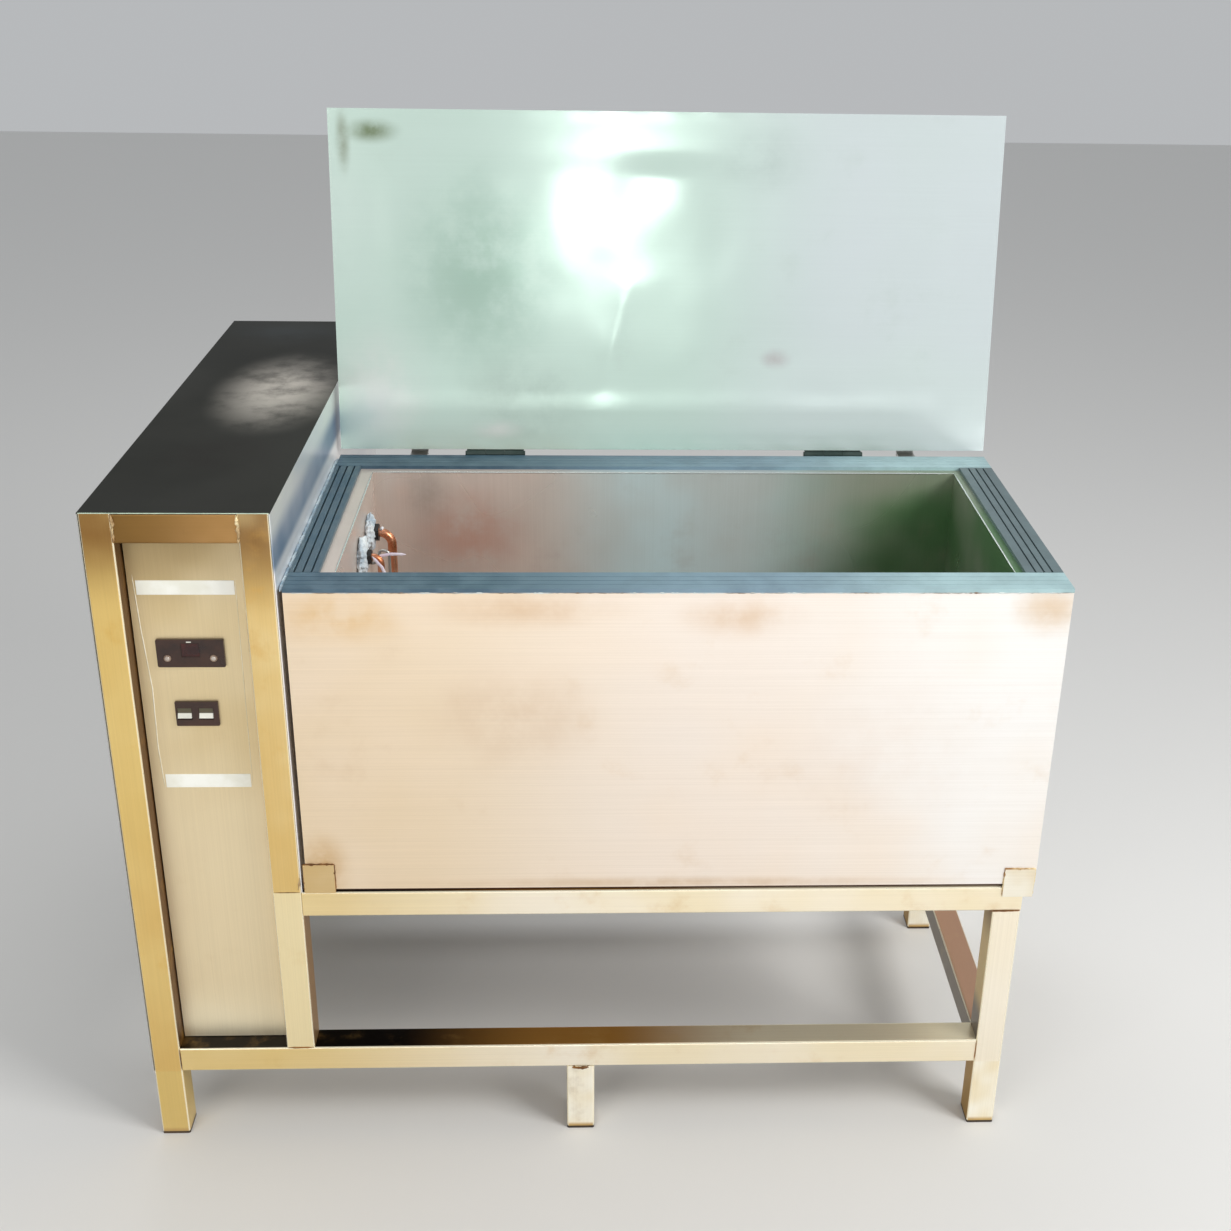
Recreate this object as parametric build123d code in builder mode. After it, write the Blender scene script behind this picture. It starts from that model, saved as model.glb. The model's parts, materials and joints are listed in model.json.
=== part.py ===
"""Bulk milk tank: an insulated chest with a hinged lid on a square-tube stand, beside a
narrow refrigeration cabinet.  Millimetres, +X right, +Y back, +Z up.  The origin is on the
floor at the middle of the plan."""
from build123d import *
import math
import os

os.makedirs("parts", exist_ok=True)

# ---------------------------------------------------------------- driving dimensions
tube = 38.1                 # side of the square tube of the frame
tube_wall = 1.5
tube_corner = 3.0
sheet = 1.2                 # steel sheet of casings and panels

overall_width = 1187.0
cabinet_width = 223.5
cabinet_depth = 868.5
cabinet_height = 935.0
gland_reach = 20.0          # how far the cable gland stands behind the cabinet
tab_thickness = 2.0         # corner tabs stand this far in front of the frame

stand_width = 1173.0
stand_depth = 485.6
foot_length = 109.9         # floor to the underside of the lower rails
plug_thickness = 4.0
upper_rail_bottom = 364.5

tank_start = 230.0          # left face of the chest, from the cabinet's left face
tank_depth = 474.6
shell_bottom = 408.0
rim_top = 838.0
strip_height = 5.0
cavity_start = 284.5        # inside of the liner, from the cabinet's left face
cavity_end = 1129.0
cavity_front = 49.0
cavity_back = 413.5
cavity_floor = 455.0
liner_sheet = 1.0
pan_lip = 20.0              # height of the bottom pan's folded edge
pan_inset = 5.0             # pan's walls stand this far inside the shell
board_gap = 0.2             # between one foam board and the next

lid_lean = 7.8              # degrees past upright when open
lid_thickness = 30.0
lid_reach = 490.6           # hinge axis to the lid's free edge
lid_skin = 1.0
hinge_offset = 6.0          # hinge axis behind the chest's back face
hinge_rise = 0.6            # hinge axis above the rim
hinge_inset = 227.0         # from each end of the lid to the middle of a hinge
hinge_length = 84.0

# ---------------------------------------------------------------- derived reference places
overall_depth = tab_thickness + cabinet_depth + gland_reach
left = -overall_width / 2
front = tab_thickness - overall_depth / 2
right = left + overall_width
half_tube = tube / 2

cabinet_right = left + cabinet_width
cabinet_back = front + cabinet_depth
cover_bottom = cabinet_height - 1.5
post_left_x = left + sheet + half_tube
post_right_x = cabinet_right - sheet - half_tube
post_front_y = front + half_tube
post_back_y = cabinet_back - sheet - half_tube

stand_right_x = left + stand_width - half_tube
stand_back_y = front + stand_depth - half_tube
lower_rail_z = foot_length + half_tube
lower_rail_top = foot_length + tube
upper_rail_z = upper_rail_bottom + half_tube
upper_rail_top = upper_rail_bottom + tube
top_rail_z = cover_bottom - half_tube

tank_left = left + tank_start
tank_back = front + tank_depth
flange_top = rim_top - strip_height
hinge_y = tank_back + hinge_offset
hinge_z = rim_top + hinge_rise

RIGHT = (1, 0, 0)
BACK = (0, 1, 0)
UP = (0, 0, 1)
LOWEST = (Align.MIN, Align.MIN, Align.MIN)


# ---------------------------------------------------------------- shared helpers
def save(builder, name):
    """Label a finished sub-part and write its STEP file."""
    builder.part.label = name
    export_step(builder.part, f"parts/{name}.step")


def box_between(low, high, mode=Mode.ADD):
    """Add or cut a box given by its lowest and highest corners."""
    size = [top - bottom for bottom, top in zip(low, high)]
    with Locations(low):
        Box(*size, align=LOWEST, mode=mode)


def cylinder_along(axis, start, radius, length, mode=Mode.ADD):
    """Add or cut a cylinder that starts at a point and runs along an axis."""
    with BuildSketch(Plane(origin=start, z_dir=axis)) as disc:
        Circle(radius)
    extrude(disc.sketch, amount=length, mode=mode)


def tube_plane(start, direction):
    """Plane across a square tube's axis, with its sides kept square to the frame."""
    across = BACK if direction == RIGHT else RIGHT
    return Plane(origin=start, x_dir=across, z_dir=direction)


def square_tubes(name, runs):
    """Hollow square tubes, each from the start of its centre line, with its length."""
    with BuildPart() as tubes:
        for start, direction, length in runs:
            with BuildSketch(tube_plane(start, direction)):
                RectangleRounded(tube, tube, tube_corner)
                inside = tube - 2 * tube_wall
                RectangleRounded(inside, inside, tube_corner - tube_wall, mode=Mode.SUBTRACT)
            extrude(amount=length)
    save(tubes, name)


def route(points, radii):
    """Wire of straight runs joined by tangent arcs."""
    with BuildLine() as line:
        FilletPolyline(*points, radius=radii)
    return line.wires()[0]


def pipe_along(path, outer, wall):
    """Sweep a hollow round pipe along a wire, or a solid rod where the wall is zero."""
    with BuildSketch(Plane(origin=path @ 0, z_dir=path % 0)) as ring:
        Circle(outer / 2)
        if wall:
            Circle(outer / 2 - wall, mode=Mode.SUBTRACT)
    sweep(ring.sketch, path=path)


# ---------------------------------------------------------------- square-tube frame
def frame():
    upright = cover_bottom - foot_length
    square_tubes("post_front_left", [((post_left_x, post_front_y, foot_length), UP, upright)])
    square_tubes("back_posts", [((x, post_back_y, foot_length), UP, upright)
                                for x in (post_left_x, post_right_x)])
    square_tubes("post_front_right", [
        ((post_right_x, post_front_y, upper_rail_top), UP, cover_bottom - upper_rail_top)])
    square_tubes("leg_front_inner", [
        ((post_right_x, post_front_y, lower_rail_top), UP, upper_rail_top - lower_rail_top)])
    square_tubes("right_legs", [((stand_right_x, y, foot_length), UP, upper_rail_bottom - foot_length)
                                for y in (post_front_y, stand_back_y)])

    inner_left = post_left_x + half_tube
    inner_right = post_right_x + half_tube
    long_run = stand_right_x - half_tube - inner_left
    square_tubes("lower_front_rail", [((inner_left, post_front_y, lower_rail_z), RIGHT, long_run)])
    square_tubes("lower_back_rail", [((inner_left, stand_back_y, lower_rail_z), RIGHT, long_run)])
    upper_run = left + stand_width - inner_right
    square_tubes("upper_front_rail", [((inner_right, post_front_y, upper_rail_z), RIGHT, upper_run)])
    square_tubes("upper_back_rail", [((inner_right, stand_back_y, upper_rail_z), RIGHT, upper_run)])

    side_start = front + tube
    stand_run = stand_back_y - half_tube - side_start
    square_tubes("right_side_rails", [((stand_right_x, side_start, z), BACK, stand_run)
                                      for z in (lower_rail_z, upper_rail_z)])
    cabinet_run = post_back_y - half_tube - side_start
    cabinet_sides = [(post_left_x, lower_rail_z), (post_left_x, upper_rail_z), (post_left_x, top_rail_z),
                     (post_right_x, upper_rail_z), (post_right_x, top_rail_z)]
    square_tubes("cabinet_side_rails", [((x, side_start, z), BACK, cabinet_run)
                                        for x, z in cabinet_sides])
    cross_run = post_right_x - half_tube - inner_left
    cross_places = [(post_front_y, top_rail_z), (post_front_y + tube, upper_rail_z),
                    (post_back_y, lower_rail_z), (post_back_y, upper_rail_z), (post_back_y, top_rail_z)]
    square_tubes("cabinet_cross_rails", [((inner_left, y, z), RIGHT, cross_run)
                                         for y, z in cross_places])


def foot_places():
    """Plan positions of the six feet: four cabinet and stand corners, a middle one and a back one."""
    middle_x = left + 585
    return [(post_left_x, post_front_y), (middle_x, post_front_y), (stand_right_x, post_front_y),
            (stand_right_x, stand_back_y), (post_left_x, post_back_y), (post_right_x, post_back_y)]


def feet():
    square_tubes("feet", [((x, y, plug_thickness), UP, foot_length - plug_thickness)
                          for x, y in foot_places()])
    plug_inside = tube - 2 * tube_wall - 0.2
    with BuildPart() as foot_plugs:
        for x, y in foot_places():
            with BuildSketch(Plane(origin=(x, y, 0))):
                RectangleRounded(tube, tube, tube_corner)
            extrude(amount=plug_thickness)
            with BuildSketch(Plane(origin=(x, y, plug_thickness))):
                RectangleRounded(plug_inside, plug_inside, 1.2)
            extrude(amount=16)
    save(foot_plugs, "foot_plugs")


def corner_tabs():
    """Square plates welded over the chest's bottom front corners."""
    tab_width = 40.0
    tab_height = 43.0
    corners = [(left + 227.0, upper_rail_top + 0.4), (right - tab_width - 2.0, upper_rail_top - 14)]
    with BuildPart() as tabs:
        for x, z in corners:
            box_between((x, front - tab_thickness, z), (x + tab_width, front, z + tab_height))
    save(tabs, "corner_tabs")


# ---------------------------------------------------------------- insulated chest
suction_y = front + 330.0
liquid_y = front + 250.0
lead_y = front + 272.0
suction_z = 774.3
liquid_z = 771.0
lead_z = 752.0
suction_diameter = 12.7
liquid_diameter = 9.5
lead_diameter = 4.0
pipe_clearance = 2.0

drain_x = left + 1040.0
drain_y = front + 232.0
drain_thread_radius = 13.0
drain_hole_radius = 13.4


def cut_wall_holes(x_low, x_high):
    """Cut the pipe and sensor holes through a wall between two X positions."""
    holes = [(suction_y, suction_z, suction_diameter / 2 + pipe_clearance),
             (liquid_y, liquid_z, liquid_diameter / 2 + pipe_clearance),
             (lead_y, lead_z, lead_diameter / 2 + pipe_clearance)]
    for y, z, radius in holes:
        cylinder_along(RIGHT, (x_low, y, z), radius, x_high - x_low, mode=Mode.SUBTRACT)


def tank_shell():
    with BuildPart() as shell:
        box_between((tank_left, front, shell_bottom), (right, tank_back, flange_top - liner_sheet))
        box_between((tank_left + sheet, front + sheet, shell_bottom),
                    (right - sheet, tank_back - sheet, flange_top - liner_sheet), mode=Mode.SUBTRACT)
        cut_wall_holes(tank_left - 1, tank_left + 2)
    save(shell, "tank_shell")


def tank_bottom_pan():
    """Folded tray that closes the chest's underside and rests on the upper rails."""
    pan_low = (tank_left + pan_inset, front + pan_inset, upper_rail_top)
    pan_high = (right - pan_inset, tank_back - pan_inset, upper_rail_top + pan_lip)
    with BuildPart() as pan:
        box_between(pan_low, pan_high)
        box_between((pan_low[0] + sheet, pan_low[1] + sheet, upper_rail_top + sheet),
                    (pan_high[0] - sheet, pan_high[1] - sheet, pan_high[2]), mode=Mode.SUBTRACT)
        cylinder_along(UP, (drain_x, drain_y, upper_rail_top - 1), drain_hole_radius, 4,
                       mode=Mode.SUBTRACT)
    save(pan, "tank_bottom_pan")


def cavity_corners(grow):
    """Plan corners of the liner's inside, grown outwards."""
    low = (left + cavity_start - grow, front + cavity_front - grow)
    high = (left + cavity_end + grow, front + cavity_back + grow)
    return low, high


def tank_insulation():
    """Five foam boards: a stepped one under the liner and one behind each wall."""
    pan_inside = pan_inset + sheet
    foam_bottom = upper_rail_top + sheet
    pan_lip_top = upper_rail_top + pan_lip
    board_floor = cavity_floor - liner_sheet
    board_top = flange_top - liner_sheet
    inner_low, inner_high = cavity_corners(liner_sheet)
    outer_low = (tank_left + sheet, front + sheet)
    outer_high = (right - sheet, tank_back - sheet)
    with BuildPart() as insulation:
        box_between((tank_left + pan_inside, front + pan_inside, foam_bottom),
                    (right - pan_inside, tank_back - pan_inside, pan_lip_top))
        box_between((*outer_low, pan_lip_top), (*outer_high, board_floor))
        cylinder_along(UP, (drain_x, drain_y, foam_bottom - 1), drain_hole_radius,
                       board_floor - foam_bottom + 2, mode=Mode.SUBTRACT)
        seam = board_floor + board_gap
        box_between((*outer_low, seam), (outer_high[0], inner_low[1], board_top))
        box_between((outer_low[0], inner_high[1], seam), (*outer_high, board_top))
        wall_low = inner_low[1] + board_gap
        wall_high = inner_high[1] - board_gap
        box_between((outer_low[0], wall_low, seam), (inner_low[0], wall_high, board_top))
        box_between((inner_high[0], wall_low, seam), (outer_high[0], wall_high, board_top))
        cut_wall_holes(tank_left, left + cavity_start)
    save(insulation, "tank_insulation")


def tank_liner():
    inner_low, inner_high = cavity_corners(0)
    outer_low, outer_high = cavity_corners(liner_sheet)
    with BuildPart() as liner:
        box_between((*outer_low, cavity_floor - liner_sheet), (*outer_high, flange_top))
        box_between((tank_left, front, flange_top - liner_sheet), (right, tank_back, flange_top))
        box_between((*inner_low, cavity_floor), (*inner_high, flange_top), mode=Mode.SUBTRACT)
        cut_wall_holes(left + cavity_start - 3, left + cavity_start + 1)
        cylinder_along(UP, (drain_x, drain_y, cavity_floor - 3), drain_hole_radius, 4,
                       mode=Mode.SUBTRACT)
    save(liner, "tank_liner")


groove_width = 2.3
groove_depth = 4.0
faint_groove = 0.9
strip_depth = 49.0          # front strip, from its front edge to the cavity
strip_lip = 1.3             # front strip stands this far in front of the shell
back_strip_depth = 47.0


def rim_strips():
    """Ribbed plastic strips on the rim: long ones front and back, short ones between them."""
    long_front = (front - strip_lip, front - strip_lip + strip_depth)
    long_back = (tank_back - back_strip_depth, tank_back)
    with BuildPart() as strips_long:
        for low_y, high_y in (long_front, long_back):
            box_between((tank_left, low_y, flange_top), (right, high_y, rim_top))
            for share in (0.27, 0.5, 0.73):
                y = low_y + share * (high_y - low_y)
                box_between((tank_left, y, rim_top - 1.2), (right, y + faint_groove, rim_top),
                            mode=Mode.SUBTRACT)
    save(strips_long, "rim_strips_long")

    rib_pitch = 10.6
    seam = 1.2
    side_front = long_front[1] + seam
    side_back = long_back[0] - seam
    left_strip = (tank_left, left + 266.0, left + 235.0)
    right_strip = (left + 1139.5, right, left + 1151.0)
    with BuildPart() as strips_side:
        for low_x, high_x, first_groove in (left_strip, right_strip):
            box_between((low_x, side_front, flange_top), (high_x, side_back, rim_top))
            for number in range(3):
                x = first_groove + number * rib_pitch
                box_between((x, side_front, rim_top - groove_depth),
                            (x + groove_width, side_back, rim_top), mode=Mode.SUBTRACT)
    save(strips_side, "rim_strips_side")


# ---------------------------------------------------------------- drain
valve_top = upper_rail_top - 16.0
valve_bottom = valve_top - 78.0
ball_z = valve_top - 40.0
ball_radius = 14.0
drain_bore = 9.5
outlet_length = 22.0        # straight bore at the valve's outlet
stem_radius = 4.0
stem_hole = 4.05
ball_flat = 12.0            # distance of the stem's seat from the ball's middle


def drain_fitting():
    """Bulkhead: flange and strainer on the tank floor, thread down through it, and a lock nut."""
    flange_radius = 30.0
    with BuildPart() as fitting:
        cylinder_along(UP, (drain_x, drain_y, cavity_floor), flange_radius, 3)
        cylinder_along(UP, (drain_x, drain_y, valve_top - 14), drain_thread_radius,
                       cavity_floor - valve_top + 15)
        with BuildSketch(Plane(origin=(drain_x, drain_y, upper_rail_top - 9))):
            RegularPolygon(19, 6)
        extrude(amount=8.8)
        cylinder_along(UP, (drain_x, drain_y, valve_top - 15), drain_bore, cavity_floor - valve_top + 16,
                       mode=Mode.SUBTRACT)
        with BuildSketch(Plane(origin=(drain_x, drain_y, cavity_floor - 2))):
            Circle(2)
            with PolarLocations(6, 6):
                Circle(2)
        extrude(amount=8, mode=Mode.SUBTRACT)
    save(fitting, "drain_fitting")


def drain_valve():
    """Ball valve below the tank: body, ball, and lever with its stem."""
    seat_gap = 0.4
    body_radius = 20.0
    stem_plane_y = drain_y - ball_flat
    with BuildPart() as body:
        cylinder_along(UP, (drain_x, drain_y, valve_bottom + 20), body_radius, 58)
        cylinder_along(UP, (drain_x, drain_y, valve_bottom), 14.5, 24)
        cylinder_along((0, -1, 0), (drain_x, drain_y, ball_z), 9, 30)
        cylinder_along(UP, (drain_x, drain_y, valve_top - 14), drain_thread_radius + 0.05, 15,
                       mode=Mode.SUBTRACT)
        cylinder_along(UP, (drain_x, drain_y, valve_bottom - 1), drain_bore, 80, mode=Mode.SUBTRACT)
        cylinder_along(UP, (drain_x, drain_y, valve_bottom + outlet_length), drain_bore + 1.5, 12,
                       mode=Mode.SUBTRACT)
        with Locations((drain_x, drain_y, ball_z)):
            Sphere(ball_radius + seat_gap, mode=Mode.SUBTRACT)
        cylinder_along((0, -1, 0), (drain_x, drain_y, ball_z), stem_hole, 32, mode=Mode.SUBTRACT)
    save(body, "drain_valve_body")

    with BuildPart() as ball:
        with Locations((drain_x, drain_y, ball_z)):
            Sphere(ball_radius)
        cylinder_along(RIGHT, (drain_x - 20, drain_y, ball_z), drain_bore, 40, mode=Mode.SUBTRACT)
        box_between((drain_x - 20, drain_y - 20, ball_z - 20),
                    (drain_x + 20, stem_plane_y, ball_z + 20), mode=Mode.SUBTRACT)
    save(ball, "drain_ball")

    lever_back = drain_y - 31.0
    lever_thickness = 3.0
    lever_plane = Plane(origin=(drain_x, lever_back, ball_z), x_dir=RIGHT, z_dir=(0, -1, 0))
    with BuildPart() as lever:
        cylinder_along((0, -1, 0), (drain_x, stem_plane_y, ball_z), stem_radius, 26)
        with BuildSketch(lever_plane):
            with Locations((42, 0)):
                SlotOverall(102, 18)
        extrude(amount=lever_thickness)
        with BuildSketch(lever_plane.offset(lever_thickness)):
            RegularPolygon(6.5, 6)
        extrude(amount=5)
    save(lever, "drain_lever")


# ---------------------------------------------------------------- refrigeration circuit
coil_z = cavity_floor + 34.0
coil_diameter = 12.7
copper_wall = 0.9
coil_pitch = 40.0
coil_rows = 6
coil_start_y = suction_y
coil_left = left + 352.0
coil_right = left + 1085.0
suction_drop_x = left + 318.4
liquid_drop_x = left + 313.0


def evaporator_coil():
    points = []
    for row in range(coil_rows):
        y = coil_start_y - row * coil_pitch
        ends = (coil_left, coil_right) if row % 2 == 0 else (coil_right, coil_left)
        points += [(end, y, coil_z) for end in ends]
    bend = coil_pitch / 2 - 0.5
    with BuildPart() as coil:
        pipe_along(route(points, bend), coil_diameter, copper_wall)
    save(coil, "evaporator_coil")

    span = (coil_rows - 1) * coil_pitch
    low_y = coil_start_y - span - 16
    with BuildPart() as supports:
        for x in (left + 460, left + 710, left + 960):
            box_between((x, low_y, cavity_floor), (x + 3, coil_start_y + 16, coil_z + 12))
            box_between((x, low_y, cavity_floor), (x + 22, coil_start_y + 16, cavity_floor + 2))
            for row in range(coil_rows):
                y = coil_start_y - row * coil_pitch
                cylinder_along(RIGHT, (x - 1, y, coil_z), coil_diameter / 2 + 0.2, 6, mode=Mode.SUBTRACT)
    save(supports, "coil_supports")


unit_floor = upper_rail_top + 2.0
unit_x = left + cabinet_width / 2
compressor_y = front + 560.0
compressor_base = unit_floor + 14.0
compressor_height = 190.0
compressor_radius = 74.0
compressor_top = compressor_base + compressor_height
suction_stub = (unit_x + 25, compressor_y - 37)
discharge_stub = (unit_x - 25, compressor_y + 37)
stub_height = 24.0
pipe_slack = 0.05            # gap all round a pipe or shaft in its socket
unit_height = 250.0          # condenser and shroud, above the shelf
fan_centre_z = unit_floor + 128.0
condenser_front = front + 768.0
shroud_front = condenser_front - 26.0


def suction_line():
    """Wide pipe from the coil up through the chest's wall and back to the compressor."""
    riser_z = compressor_top + stub_height / 2
    points = [(coil_left, suction_y, coil_z), (suction_drop_x, suction_y, coil_z),
              (suction_drop_x, suction_y, suction_z), (cabinet_right - 50, suction_y, suction_z),
              (cabinet_right - 50, suction_stub[1] - 40, suction_z),
              (suction_stub[0], suction_stub[1], suction_z),
              (suction_stub[0], suction_stub[1], riser_z)]
    with BuildPart() as line:
        pipe_along(route(points, [19, 18, 28, 18, 18]), suction_diameter, copper_wall)
    save(line, "suction_line")


drier_x = left + 52.0
drier_y = front + 420.0
drier_bottom = unit_floor + 150.0
drier_length = 108.0


condenser_rows = 8
condenser_pitch = 30.0
condenser_depth = 44.0
condenser_half_width = 80.0
condenser_header = 4.0      # how far the tubes stand out of the fins
hot_gas_diameter = 8.0


def condenser_row_z(row):
    return unit_floor + 20 + row * condenser_pitch


def refrigerant_lines():
    """Narrow pipes: compressor to condenser, condenser to drier, and drier to the coil."""
    last_row_y = coil_start_y - (coil_rows - 1) * coil_pitch
    header_x = unit_x - condenser_half_width - condenser_header
    outside_x = left + 12.0
    header_y = condenser_front + condenser_depth / 2
    top_z = condenser_row_z(condenser_rows - 1)
    bottom_z = condenser_row_z(0)
    over_z = compressor_top + 70
    hot_gas = [(*discharge_stub, compressor_top + stub_height / 2), (*discharge_stub, over_z),
               (outside_x, discharge_stub[1], over_z), (outside_x, header_y, over_z),
               (outside_x, header_y, top_z), (header_x, header_y, top_z)]
    return_run = [(header_x, header_y, bottom_z), (outside_x, header_y, bottom_z),
                  (outside_x, drier_y, bottom_z), (drier_x, drier_y, bottom_z),
                  (drier_x, drier_y, drier_bottom)]
    drier_top = drier_bottom + drier_length
    to_coil = [(drier_x, drier_y, drier_top), (drier_x, drier_y, liquid_z + 40),
               (drier_x, liquid_y, liquid_z + 40), (drier_x, liquid_y, liquid_z),
               (liquid_drop_x, liquid_y, liquid_z), (liquid_drop_x, liquid_y, coil_z),
               (liquid_drop_x, last_row_y, coil_z), (coil_left, last_row_y, coil_z)]
    with BuildPart() as lines:
        pipe_along(route(hot_gas, [12, 12, 12, 7]), hot_gas_diameter, copper_wall)
        pipe_along(route(return_run, [7, 12, 12]), hot_gas_diameter, copper_wall)
        pipe_along(route(to_coil, [14, 14, 14, 11, 14, 14]), liquid_diameter, copper_wall)
    save(lines, "refrigerant_lines")


def filter_drier():
    """Copper-bodied drier, tapered to a pipe at each end."""
    body = 11.0
    neck = 5.0
    taper = 16.0
    drier_top = drier_bottom + drier_length
    with BuildPart() as drier:
        with BuildSketch(Plane(origin=(drier_x, drier_y, 0), x_dir=RIGHT, z_dir=(0, -1, 0))):
            with BuildLine():
                Polyline((0, drier_bottom), (neck, drier_bottom), (body, drier_bottom + taper),
                         (body, drier_top - taper), (neck, drier_top), (0, drier_top), close=True)
            make_face()
        revolve(axis=Axis((drier_x, drier_y, 0), UP))
    save(drier, "filter_drier")


nut_start = 10.0            # from the liner's face to a gland nut
nut_length = 6.5


def wall_fittings():
    """Gland nuts and lumps of pipe wrap where the two pipes come through the liner."""
    wall_x = left + cavity_start
    pipes = [(suction_y, suction_z, suction_diameter / 2 + 0.1, 13.0, 27.0),
             (liquid_y, liquid_z, liquid_diameter / 2 + 0.1, 11.0, 25.0)]
    with BuildPart() as glands:
        for y, z, hole, nut_radius, _ in pipes:
            with BuildSketch(Plane(origin=(wall_x + nut_start, y, z), z_dir=RIGHT)):
                RegularPolygon(nut_radius, 6)
                Circle(hole, mode=Mode.SUBTRACT)
            extrude(amount=nut_length)
    save(glands, "pipe_glands")

    with BuildPart() as wraps:
        for y, z, hole, _, lump_radius in pipes:
            cylinder_along(RIGHT, (wall_x, y, z), lump_radius, nut_start - 0.2)
            cylinder_along(RIGHT, (wall_x - 1, y, z), hole, nut_start + 2, mode=Mode.SUBTRACT)
    save(wraps, "pipe_wraps")


def temperature_probe():
    """Sensor lead from the wall over a small loop and down to its steel bulb."""
    wall_x = left + cavity_start
    loop_top = liquid_z + 2
    drop_x = left + 322.0
    drop_y = front + 268.0
    bulb_top = 640.0
    points = [(wall_x - 60, lead_y, lead_z), (wall_x + 18, lead_y, lead_z),
              (wall_x + 26, lead_y - 3, loop_top), (drop_x, drop_y, loop_top - 2),
              (drop_x, drop_y, bulb_top)]
    with BuildPart() as probe:
        pipe_along(route(points, [6, 5, 6]), lead_diameter, 0)
        cylinder_along((0, 0, -1), (drop_x, drop_y, bulb_top + 6), 3.2, 46)
        fillet(probe.faces().sort_by(Axis.Z)[0].edges(), 2.4)
    save(probe, "temperature_probe")


def compressor():
    """Hermetic shell with a seam flange, a terminal box, pipe stubs and a base on grommets."""
    base_plate = 4.0
    bottom = compressor_base + base_plate
    middle = (bottom + compressor_top) / 2
    dome = 34.0
    shoulder = compressor_radius - dome
    seam_width = 8.0
    seam_reach = 5.0
    base_half = (60.0, 95.0)
    grommet_places = [(x, y) for x in (-48.0, 48.0) for y in (-85.0, 85.0)]
    grommet_radius = 12.0
    terminal_low = (-35.0, 60.0, 14.0)
    terminal_high = (35.0, 98.0, 60.0)
    stub_wall = 1.2
    stub_root = 6.0
    with BuildPart() as machine:
        with BuildSketch(Plane(origin=(unit_x, compressor_y, 0), x_dir=RIGHT, z_dir=(0, -1, 0))):
            with BuildLine():
                Line((0, bottom), (shoulder, bottom))
                JernArc((shoulder, bottom), (1, 0), dome, 90)
                Line((compressor_radius, bottom + dome), (compressor_radius, compressor_top - dome))
                JernArc((compressor_radius, compressor_top - dome), (0, 1), dome, 90)
                Line((shoulder, compressor_top), (0, compressor_top))
                Line((0, compressor_top), (0, bottom))
            make_face()
        revolve(axis=Axis((unit_x, compressor_y, 0), UP))
        cylinder_along(UP, (unit_x, compressor_y, middle - seam_width / 2),
                       compressor_radius + seam_reach, seam_width)
        box_between((unit_x - base_half[0], compressor_y - base_half[1], compressor_base),
                    (unit_x + base_half[0], compressor_y + base_half[1], bottom))
        for x, y in grommet_places:
            cylinder_along(UP, (unit_x + x, compressor_y + y, unit_floor), grommet_radius,
                           compressor_base - unit_floor)
        centre = (unit_x, compressor_y, middle)
        box_between(tuple(c + offset for c, offset in zip(centre, terminal_low)),
                    tuple(c + offset for c, offset in zip(centre, terminal_high)))
        for place, diameter in ((suction_stub, suction_diameter), (discharge_stub, hot_gas_diameter)):
            cylinder_along(UP, (*place, compressor_top - stub_root), diameter / 2 + stub_wall,
                           stub_height + stub_root)
            cylinder_along(UP, (*place, compressor_top + stub_height / 2), diameter / 2 + pipe_slack,
                           stub_height, mode=Mode.SUBTRACT)
    save(machine, "compressor")


def condenser():
    """Fin-and-tube block, with the fan's shroud in front of it."""
    low_x = unit_x - condenser_half_width
    high_x = unit_x + condenser_half_width
    high_z = unit_floor + unit_height
    fin_pitch = 8.0
    fin = 0.8
    row_radius = 4.8
    fin_count = int((high_x - low_x) / fin_pitch) + 1
    with BuildPart() as block:
        for number in range(fin_count):
            x = low_x + number * fin_pitch - fin / 2
            box_between((x, condenser_front, unit_floor),
                        (x + fin, condenser_front + condenser_depth, high_z))
        for row in range(condenser_rows):
            start = (low_x - condenser_header, condenser_front + condenser_depth / 2, condenser_row_z(row))
            cylinder_along(RIGHT, start, row_radius, 2 * (condenser_half_width + condenser_header))
    save(block, "condenser_coil")

    shroud_sheet = 1.5
    shroud_gap = 0.2
    shroud_back = condenser_front - shroud_gap
    fan_opening = 78.0
    with BuildPart() as shroud:
        box_between((low_x, shroud_front, unit_floor), (high_x, shroud_back, high_z))
        box_between((low_x + shroud_sheet, shroud_front + shroud_sheet, unit_floor + shroud_sheet),
                    (high_x - shroud_sheet, shroud_back, high_z - shroud_sheet), mode=Mode.SUBTRACT)
        cylinder_along(BACK, (unit_x, shroud_front - 1, fan_centre_z), fan_opening, shroud_sheet + 2.5,
                       mode=Mode.SUBTRACT)
    save(shroud, "fan_shroud")


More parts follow.
